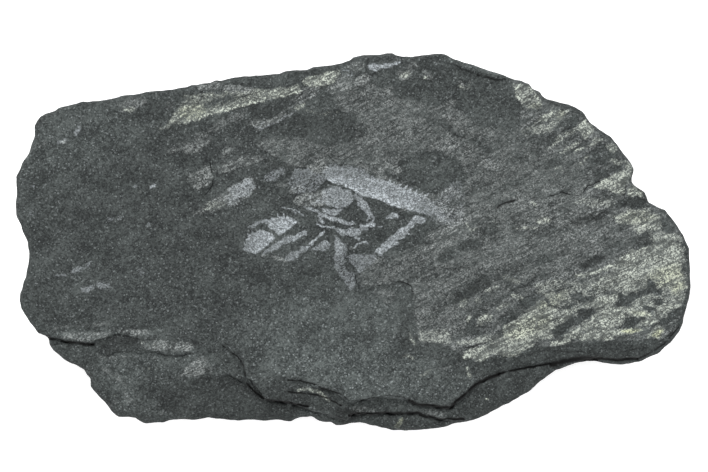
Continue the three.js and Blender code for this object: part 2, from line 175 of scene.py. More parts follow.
# Cracks and flake edges on the split face: darkness, width, lip and line. Darkness is the painted
# shade that fills the crack or lies at the foot of its step, and also how deep the crack is cut. The lip
# is how much higher the stone stands on the left-hand side of the line.
CRACKS = [
    (0.7, 0.12, 0, [(-22.3, 12.1), (-22.1, 10.9)]),
    (0.6, 0.12, 0, [(-21.9, 9.6), (-21.9, 8.9), (-22.3, 8.2), (-23.9, 6.3)]),
    (0.3, 0.16, 0.1, [(-15, 14.7), (-13.5, 13.9), (-12, 12.9), (-10.5, 12.2), (-9, 11.6), (-7.2, 11.5)]),
    (0.5, 0.14, 0, [(-4, 13.5), (-3.3, 12.8), (-2.8, 12.1), (-2.1, 11.7)]),
    (0.35, 0.14, 0, [(-1.9, 11.7), (-1.3, 12), (0.5, 12.1)]),
    (0.5, 0.14, 0, [(-8.7, 11.5), (-7.4, 11.4)]),
    (0.45, 0.3, 0.1, [(10.8, 19.5), (12.6, 18.6), (14.5, 17.8), (16.5, 16.3), (17.5, 16)]),
    (0.45, 0.25, 0.1, [(19.7, 15.4), (20.8, 13.8)]),
    (0.74, 0.16, 0.1, [
        (30.6, 7.1), (31.8, 7.3), (32.4, 7.7), (33.1, 7.4), (34.9, 7.2), (35.6, 7.5), (36, 8.2),
        (36.5, 8.7), (37.4, 8.9), (38.4, 9.4)]),
    (0.75, 0.35, 0.05, [(22.2, 4.6), (22.5, 5.3), (23.1, 5.8), (24, 6.1), (25, 6.3)]),
    (0.35, 0.16, 0.05, [(25, 6.3), (26, 6), (26.7, 5.4), (26.9, 4.8)]),
    (0.5, 0.14, 0, [(23.3, 7.8), (23.2, 6.5)]),
    (0.5, 0.16, -0.1, [(0, -4.4), (0.2, -5.2), (0.4, -6), (0.7, -6.8), (0.8, -7.4)]),
    (0.3, 0.14, -0.1, [(0.9, -6.9), (3, -7), (5.4, -6.8), (6.1, -6.5)]),
    (0.6, 0.16, -0.1, [(6.1, -6.3), (7.2, -6.2), (8.1, -6.5), (9, -7), (9.1, -7.8)]),
    (0.55, 0.16, 0.1, [(13.6, -4), (15.4, -4.4), (17, -3.9), (18.1, -4.1)]),
    (0.42, 0.16, 0.1, [(24, -8), (25.5, -7.4), (26.9, -6.9), (28.1, -5.7), (30.2, -5.1), (31.3, -4.7)]),
    (0.6, 0.16, 0, [(17.2, -16.7), (20.3, -15.9), (22.3, -15.1)]),
    (0.7, 0.16, 0, [(42.5, 8.7), (42.3, 7.1)]),
    (0.6, 0.18, 0, [(-48, 13.2), (-47.8, 12.5)]),
    # The dark line under the raised strip by the back edge is painted shade on its step.
    (0.55, 0.3, 0.25, [(14.9, 27.9), (15.6, 27.7), (16.9, 27), (18.7, 26.3)]),
    (0.75, 0.3, 0.25, [(19.3, 26), (20.6, 25.6), (22.4, 25.2), (23.5, 25.2)]),
    (0.5, 0.25, 0.1, [(9.3, -17.9), (8.3, -17.5), (7.3, -18.3), (6.7, -19.3), (6.2, -20)]),
    # The ledges of the left front: painted shadow at their feet.
    (1, 0.3, 0, [
        (-48, -14.7), (-47.4, -15.1), (-46, -15.25), (-45, -15.6), (-43, -15.75), (-41.5, -16),
        (-40.6, -16.1)]),
    (0.55, 0.2, 0, [
        (-40.4, -16), (-40, -15.6), (-38.5, -15.1), (-37, -14.35), (-36, -14.5), (-34.9, -14.8),
        (-33.5, -15.2)]),
    (0.45, 0.2, 0, [
        (-40.5, -16.2), (-39.7, -16.8), (-39, -17.5), (-38.2, -17.7), (-37, -17.2), (-34, -17.2),
        (-31, -17.1), (-30.2, -17.4), (-29.4, -17.9), (-27, -17.9), (-25, -17.3), (-23.5, -17)]),
    (0.8, 0.2, 0.1, [
        (-20.3, -16.3), (-19.4, -17), (-18.3, -17.8), (-17.6, -18.6), (-17.1, -19.6), (-16.9, -20.9)]),
    (0.4, 0.2, 0, [(-18.1, -18.8), (-17.7, -20), (-17.5, -21.2)]),
    (0.5, 0.2, 0.1, [(-20.2, -20.8), (-19.2, -21), (-18.4, -21.4), (-17.6, -21.9), (-16.6, -22.1)]),
    (1, 0.3, 0, [(-16.6, -22.2), (-16, -22.9), (-15.4, -23.6), (-14.8, -24), (-14, -24.5)]),
    (0.7, 0.2, 0, [(-16.2, -21.6), (-15.4, -22.6), (-14.4, -23.9)]),
    (1, 0.3, 0, [(-13.5, -24.6), (-12, -24.9), (-10, -25.2), (-8.2, -25.5), (-7.2, -25.8)]),
    # The ledges of the front edge: painted shadow at their feet and under the overhang of the upper bed.
    (0.8, 0.22, 0, [
        (-10.1, -21.6), (-8, -21.7), (-6.3, -22.2), (-5.3, -22.7), (-3.7, -23.2), (-2.3, -23.7),
        (-1.3, -24.3), (-0.7, -24.8)]),
    (0.8, 0.25, 0.1, [(-10.1, -23.4), (-8, -23.7), (-5, -24.1), (-3.6, -24.7), (-2, -25.6)]),
    (0.55, 0.2, 0, [(-0.7, -24.9), (2, -24.6), (4, -24.2), (5.7, -24), (7.3, -24.2), (8.7, -24.7)]),
    (1, 0.4, 0, [(8.7, -24.8), (9.8, -25.3), (11.7, -25.5), (13.5, -25.8), (15, -26)]),
    (1, 0.4, 0, [
        (15.3, -25.8), (16, -24.9), (17.3, -24), (18.3, -22.9), (19.3, -22.2), (20.7, -21.5),
        (22.7, -20.7)]),
    (0.95, 0.3, 0, [(22.7, -20.6), (25.3, -20), (28.3, -19.5), (30.7, -19)]),
    (1, 0.35, 0, [
        (-0.7, -27.2), (0.7, -26.9), (4.7, -26.8), (10.3, -26.8), (11.3, -27.3), (13.3, -27.7),
        (17.3, -27.7)]),
    (1, 0.6, 0, [(31, -19.2), (33, -18.7), (34.5, -18.4), (36, -18.3), (37.8, -18.4)]),
    (1, 0.35, 0, [(37.5, -18.3), (39, -18.3), (40, -18.4), (41, -18.6), (42.5, -18.4), (44.3, -18.3)]),
    (0.7, 0.25, 0, [(44.3, -18.3), (46, -17.5), (48.4, -16), (50.6, -13.4)]),
    (0.3, 0.2, 0.1, [(1.8, -12.3), (1.6, -14), (1.9, -16.2)]),
    (0.5, 0.25, 0.1, [(27, -17.6), (30, -16.9), (33.4, -17.2), (36, -17.2)]),
    (0.5, 0.25, 0.1, [(39, -17.4), (43, -17), (47, -15.9), (49.2, -14.6)]),
    (0.5, 0.2, 0.1, [(-47.4, -16.2), (-46, -15.9), (-45.2, -15.7)]),
]


# ---- small tools for shapes on plan --------------------------------------------------------------

FAR = 99.0  # stands for a distance that is too long to matter
REACH = 3.0  # distances to a shape are only worked out this near to it


def ease(share):
    """A smooth step from 0 to 1."""
    share = np.clip(share, 0, 1)
    return share * share * (3 - 2 * share)


def rough(points, size, seed):
    """A smooth random height from -1 to 1 at each point, with bumps about `size` across."""
    cell = np.asarray(points) / size + 1000
    low = np.floor(cell).astype(np.int64)
    part = ease(cell - low)

    def corner(dx, dy):
        code = (low[:, 0] + dx) * 374761393 + (low[:, 1] + dy) * 668265263 + seed * 1442695041
        code = ((code ^ (code >> 13)) * 1274126177) & 0x7FFFFFFF
        code = ((code ^ (code >> 16)) * 2246822519) & 0x7FFFFFFF
        return code / 0x3FFFFFFF - 1

    front = corner(0, 0) * (1 - part[:, 0]) + corner(1, 0) * part[:, 0]
    back = corner(0, 1) * (1 - part[:, 0]) + corner(1, 1) * part[:, 0]
    return front * (1 - part[:, 1]) + back * part[:, 1]


def near_line(points, line, closed=False):
    """Distance from each point to a line, and on which side it lies: 1 is the right-hand side."""
    line = np.asarray(line, float)
    starts = line if closed else line[:-1]
    ends = np.roll(line, -1, axis=0) if closed else line[1:]
    distance = np.full(len(points), FAR)
    side = np.ones(len(points))
    inside_box = np.all((points > line.min(0) - REACH) & (points < line.max(0) + REACH), axis=1)
    some = points[inside_box]
    best = np.full(len(some), FAR)
    turn = np.ones(len(some))
    for start, end in zip(starts, ends):
        along = end - start
        length = along @ along + 1e-9
        share = np.clip((some - start) @ along / length, 0, 1)
        gap = some - start - share[:, None] * along
        away = np.hypot(gap[:, 0], gap[:, 1])
        closer = away < best
        cross = along[0] * gap[:, 1] - along[1] * gap[:, 0]
        turn = np.where(closer, np.where(cross < 0, 1, -1), turn)
        best = np.where(closer, away, best)
    distance[inside_box] = best
    side[inside_box] = turn
    return distance, side


def is_inside(points, outline):
    """Whether each point lies inside a closed outline."""
    outline = np.asarray(outline, float)
    inside = np.zeros(len(points), bool)
    for (x1, y1), (x2, y2) in zip(outline, np.roll(outline, -1, axis=0)):
        spans = (y1 > points[:, 1]) != (y2 > points[:, 1])
        crossing = x1 + (points[:, 1] - y1) * (x2 - x1) / (y2 - y1 if y2 != y1 else 1e-9)
        inside ^= spans & (points[:, 0] < crossing)
    return inside


def depth_in(points, outline):
    """How far inside a closed outline each point lies. Outside it, the depth is negative."""
    distance, _ = near_line(points, outline, closed=True)
    return np.where(is_inside(points, outline), distance, -distance)


def resample(line, step, closed=False):
    """Points along a line, one about every `step`."""
    line = np.asarray(line, float)
    if closed:
        line = np.vstack([line, line[:1]])
    lengths = np.hypot(*np.diff(line, axis=0).T)
    run = np.concatenate([[0], np.cumsum(lengths)])
    count = max(2, int(round(run[-1] / step)) + 1)
    where = np.linspace(0, run[-1], count)
    points = np.stack([np.interp(where, run, line[:, axis]) for axis in (0, 1)], axis=1)
    return points[:-1] if closed else points


def normals_of(line, closed=False, span=1):
    """Unit vectors that point to the left of a line at each of its points."""
    if closed:
        along = np.roll(line, -span, axis=0) - np.roll(line, span, axis=0)
    else:
        along = np.gradient(line, axis=0)
    along /= np.hypot(along[:, 0], along[:, 1])[:, None] + 1e-9
    return np.stack([-along[:, 1], along[:, 0]], axis=1)


def shaken(line, amount, size, seed):
    """A line with small breaks in it, so that no stretch of it is straight."""
    return line + amount * np.stack([rough(line, size, seed), rough(line, size, seed + 1)], axis=1)


# ---- the lie of the stone ------------------------------------------------------------------------

RIM = resample(OUTLINE, RIM_STEP, closed=True)
RIM = RIM + 0.09 * rough(RIM, 0.9, 11)[:, None] * normals_of(RIM, closed=True)
for parting in PARTINGS:
    fine = resample(parting["edge"], LINE_STEP)
    parting["line"] = shaken(shaken(fine, 0.16, 1.3, 21), 0.07, 0.45, 23)


def crack_line(line):
    """A crack's line with the small breaks that it has in the stone."""
    return shaken(resample(line, LINE_STEP), 0.1, 0.7, 25)


def face_height(points):
    """Height of the split face before any flake parted from it."""
    x, y = points[:, 0], points[:, 1]
    swell = 0.6 * np.sin(x / 17 + 0.7) * np.cos(y / 12 - 0.3) + 0.4 * np.sin(x / 9 - y / 14)
    along = ease((x - SHOULDER["from"]) / (SHOULDER["full"] - SHOULDER["from"]))
    share = np.clip(1 - (y - SHOULDER["edge"]) / SHOULDER["reach"], 0, 1.2)
    return THICKNESS + SWELL * (swell - 0.5) - SHOULDER["drop"] * along * share * share


def lie_of_face(points):
    """Height of the upper side, how broken it is (0 split, 1 broken across), and the painted shade in its
    cracks.
    """
    height = face_height(points)
    height += 0.05 * rough(points, 3.1, 31) + 0.03 * rough(points, 1.2, 33)
    broken = np.zeros(len(points))
    crack_shade = np.zeros(len(points))
    for number, parting in enumerate(PARTINGS):
        shift = points - np.array(parting["at"])
        floor = parting["height"] + shift @ np.array(parting["rise"])
        floor += 0.12 * np.sin(points[:, 0] / 4.3 + points[:, 1] / 3.1)
        floor += 0.12 * rough(points, 2.2, 41 + number) + 0.05 * rough(points, 0.8, 51 + number)
        region = np.vstack([parting["line"], parting["round"]])
        inside = is_inside(points, region)
        away, _ = near_line(points, parting["line"])
        into = np.where(inside, away, 0)
        face = parting["face"] * (1 + 0.4 * rough(points, 1.7, 61))
        fall = np.clip(into / face, 0, 1)
        first, full = parting["starts"]
        drop = np.maximum(height - floor, 0) * ease((points[:, 0] - first) / (full - first))
        notable = ease(drop / 0.45)
        height = height - drop * fall
        broken = np.maximum(broken, notable * ease(1.6 - np.abs(into / face - 0.5) * 1.6) * inside)
        # Here and there the beds gape at the foot of the step: a shallow groove, with painted shade in it
        # that shows as a dark line.
        gape = np.exp(-(((into - face) / GAPE_WIDTH) ** 2)) * inside * notable
        gape *= 0.35 * ease(0.4 + 0.9 * rough(points, 1.9, 71 + number))
        height -= GAPE_DEPTH * gape
        crack_shade = np.maximum(crack_shade, gape)
    for darkness, width, lip, line in CRACKS:
        away, side = near_line(points, crack_line(line))
        ragged = ease(0.45 + 0.6 * darkness + 0.6 * rough(points, 0.8, 75))
        cut = ragged * np.exp(-((away / (0.75 * width)) ** 2))
        raised = np.where(side < 0, 1, 0) * np.exp(-away / LIP_REACH)
        # A crack is a groove cut in the stone; its darkness is painted shade, kept in the crack shade
        # field.
        height += lip * raised - CRACK_DEPTH * darkness ** 2 * cut
        crack_shade = np.maximum(crack_shade, darkness * cut)
    return height, broken, crack_shade


def rim_fall(points, into):
    """How far the upper side falls near the outline, where its edge has chipped away."""
    bevel = 0.5 + 0.35 * rough(points, 2.4, 81) + 0.15 * rough(points, 0.7, 83)
    chip = np.clip(rough(points, 5.5, 85) - 0.1, 0, 1)
    width = bevel + 1.3 * chip
    share = np.clip(1 - into / width, 0, 1)
    return (0.55 + 0.5 * chip + 0.15 * rough(points, 1.1, 87)) * share ** 1.4, share


# ---- the mesh ------------------------------------------------------------------------------------


def lattice(step, low, high):
    """Points of an even triangular net over a box, each moved a little."""
    rows = np.arange(low[1], high[1], step * 0.866)
    points = []
    for number, y in enumerate(rows):
        x = np.arange(low[0] + (number % 2) * step / 2, high[0], step)
        points.append(np.stack([x, np.full_like(x, y)], axis=1))
    points = np.vstack(points)
    return points + 0.12 * step * np.random.default_rng(5).uniform(-1, 1, points.shape)


def zone_of(points):
    """Which net a point belongs to: 0 brightest fossils, 1 other fossils, 2 bare shale."""
    x, y = points[:, 0], points[:, 1]
    bright = (np.abs(x + 1) < 17) & (np.abs(y - 3.5 - 0.12 * x) < 10 - 0.2 * np.abs(x + 1))
    fossils = (x > -9) | ((x > -31) & (y > 2))
    return np.where(bright, 0, np.where(fossils, 1, 2))


def keep_clear(points, others, gap):
    """The points that lie at least `gap` from every one of the others."""
    tree = KDTree(len(others))
    for number, (x, y) in enumerate(others):
        tree.insert((x, y, 0), number)
    tree.balance()
    return points[[tree.find((x, y, 0))[2] > gap for x, y in points]]


def triangulate(loop, inner):
    """Triangles that fill a closed loop through the inner points, as indices into loop + inner."""
    points = np.vstack([loop, inner])
    found = delaunay_2d_cdt(points.tolist(), [], [list(range(len(loop)))], 1, 1e-7, False)
    if len(found[0]) != len(points):
        raise ValueError("the outline crosses itself, or two points of the net fall together")
    triangles = np.array(found[2])
    return points, triangles[is_inside(points[triangles].mean(axis=1), loop)]


def face_points():
    """The net of points for the upper side: dense where the fossils, ledges and cracks are."""
    rows = []
    for parting in PARTINGS:
        line = parting["line"]
        left = normals_of(line)
        for offset in (0.0, -parting["face"], -parting["face"] - 0.32):
            rows.append(line + offset * left)
    for _, width, _, line in CRACKS:
        fine = crack_line(line)
        left = normals_of(fine)
        rows += [fine, fine + 0.8 * width * left, fine - 0.8 * width * left]
    kept = np.empty((0, 2))
    for row in rows:
        row = row[depth_in(row, RIM) > 0.2]
        if len(kept) and len(row):
            row = keep_clear(row, kept, 0.09)
        kept = np.vstack([kept, row])
    low, high = RIM.min(0), RIM.max(0)
    for zone, step in enumerate((FILM_STEP, FACE_STEP, PLAIN_STEP)):
        net = lattice(step, low, high)
        net = net[zone_of(net) == zone]
        net = net[depth_in(net, RIM) > 0.16]
        kept = np.vstack([kept, keep_clear(net, np.vstack([kept, RIM]), 0.62 * step)])
    return kept


def edge_rows():
    """Rows down the broken edge, two to a bed: height, how far back it lies at least, and number."""
    random = np.random.default_rng(8)
    rows = []
    top = EDGE_TOP
    while top > 0:
        thick = random.uniform(*BED_THICKNESS)
        bottom = max(top - thick, 0)
        if bottom < LAST_BED:
            bottom = 0
        back = random.uniform(0, BED_BACK) + FOOT_BACK * ease((FOOT_HEIGHT - top) / FOOT_HEIGHT)
        rows.append((top, back, len(rows)))
        rows.append((bottom + 0.03, back + random.uniform(0.02, 0.12), len(rows)))
        top = bottom
    return rows


def build_plate():
    """The whole stone as points in millimetres, triangles, and fields for its material."""
    flat, triangles = triangulate(RIM, face_points())
    into, _ = near_line(flat, RIM, closed=True)
    height, broken, crack_shade = lie_of_face(flat)
    fall, rim_share = rim_fall(flat, into)
    height = height - fall
    broken = np.maximum(broken, ease(rim_share * 1.5))
    points = [np.column_stack([flat, height])]
    fields = {"broken": [broken], "crack_shade": [crack_shade], "edge": [np.zeros(len(flat))]}

    count = len(RIM)
    inward = normals_of(RIM, closed=True, span=5)
    rim_height = height[:count]
    run = np.arange(count) * RIM_STEP
    last = np.arange(count)
    faces = [triangles]
    total = len(flat)
    for level, back, bed in edge_rows():
        wobble = rough(np.stack([run, np.full(count, 7.0 * (bed // 2))], axis=1), 3.2, 91)
        fine = rough(np.stack([run, np.full(count, 5.0 * (bed // 2))], axis=1), 0.9, 93)
        lies_back = np.clip(back + 0.3 * wobble + 0.12 * fine, 0.02, None)
        ring = RIM + lies_back[:, None] * inward
        below = level < rim_height - 0.05
        z = np.where(below, level, rim_height - 0.02)
        ring = np.where(below[:, None], ring, RIM + 0.02 * inward)
        points.append(np.column_stack([ring, z]))
        here = total + np.arange(count)
        total += count
        after = np.roll(np.arange(count), -1)
        faces.append(np.stack([last, here, here[after]], axis=1))
        faces.append(np.stack([last, here[after], last[after]], axis=1))
        last = here
        fields["broken"].append(np.ones(count))
        fields["crack_shade"].append(np.zeros(count))
        fields["edge"].append(np.ones(count))

    foot = points[-1][:, :2]
    net = lattice(UNDER_STEP, foot.min(0), foot.max(0))
    net = net[depth_in(net, foot) > 0.5 * UNDER_STEP]
    scar_edge = shaken(resample(SCAR, 0.6, closed=True), 0.5, 2.5, 95)
    net = keep_clear(net, scar_edge, 0.6)
    scar_rows = np.vstack([scar_edge, scar_edge + 0.45 * normals_of(scar_edge, closed=True)])
    scar_rows = scar_rows[depth_in(scar_rows, foot) > 0.5]
    under, fill = triangulate(foot, np.vstack([net, scar_rows]))
    inner = under[count:]
    scarred = np.where(is_inside(inner, SCAR), 1, 0) * ease(depth_in(inner, SCAR) / 0.5)
    rest = SCAR_DEPTH * scarred + 0.05 * (1 + rough(inner, 2.7, 97))
    points.append(np.column_stack([inner, rest]))
    fill = np.where(fill < count, fill + last[0], fill - count + total)
    faces.append(fill[:, ::-1])
    for name, value in (("broken", 1.0), ("crack_shade", 0.0), ("edge", 1.0)):
        fields[name].append(np.full(len(inner), value))
    fields = {name: np.concatenate(parts) for name, parts in fields.items()}
    return joined(np.vstack(points), np.vstack(faces), fields)


def joined(points, triangles, fields):
    """The same stone with points that lie together made one, and triangles left without area dropped."""
    _, first, which = np.unique(points.round(3), axis=0, return_index=True, return_inverse=True)
    triangles = which.reshape(-1)[triangles]
    a, b, c = triangles.T
    triangles = triangles[(a != b) & (b != c) & (c != a)]
    return points[first], triangles, {name: values[first] for name, values in fields.items()}


# ---- the fossils ---------------------------------------------------------------------------------

# Films are painted in order on fields that run from 0, bare shale, to 1, a whole film. Bare isn't a
# film: it takes away the films that were painted before it. Ochre is only the stain in a straw film,
# so it goes with that. Softness is how far an edge fades.
TORN_KINDS = ("silver", "straw", "grey")
FILM_KINDS = (*TORN_KINDS, "ochre")


def patch(kind, strength, soft, outline):
    """A film with a closed outline."""
    return {"kind": kind, "strength": strength, "soft": soft, "outline": outline}


def streak(kind, strength, width, line, soft=0.18):
    """A film along a line."""
    return {"kind": kind, "strength": strength, "soft": soft, "line": line, "width": width}


def leaf(kind, strength, x, y, length, width, turn, soft=0.25):
    """A leaf-shaped film round a point, turned by degrees."""
    sweep = np.linspace(0, 2 * np.pi, 12, endpoint=False)
    across = np.abs(np.sin(sweep)) ** 0.8 * np.sign(np.sin(sweep)) * width / 2
    along = np.cos(sweep) * length / 2
    angle = math.radians(turn)
    outline = [
        (x + u * math.cos(angle) - v * math.sin(angle), y + u * math.sin(angle) + v * math.cos(angle))
        for u, v in zip(along, across)
    ]
    return patch(kind, strength, soft, outline)


def tooth(kind, strength, x, y, length, width, turn):
    """A pointed scrap of film whose foot is centred on a point and whose tip is turned by degrees."""
    angle = math.radians(turn)
    along = (math.cos(angle), math.sin(angle))
    half = (-along[1] * width / 2, along[0] * width / 2)
    tip = (x + along[0] * length, y + along[1] * length)
    return patch(kind, strength, 0.1, [(x + half[0], y + half[1]), (x - half[0], y - half[1]), tip])


def comb(kind, strength, line, pitch, length, width, turn):
    """The cups along one side of a stipe: a row of teeth that stand out from a line."""
    return [tooth(kind, strength, x, y, length, width, turn) for x, y in resample(line, pitch)]


def several(make, kind, rows):
    """Films of one kind, one for each row of the other values that `make` takes."""
    return [make(kind, *row) for row in rows]


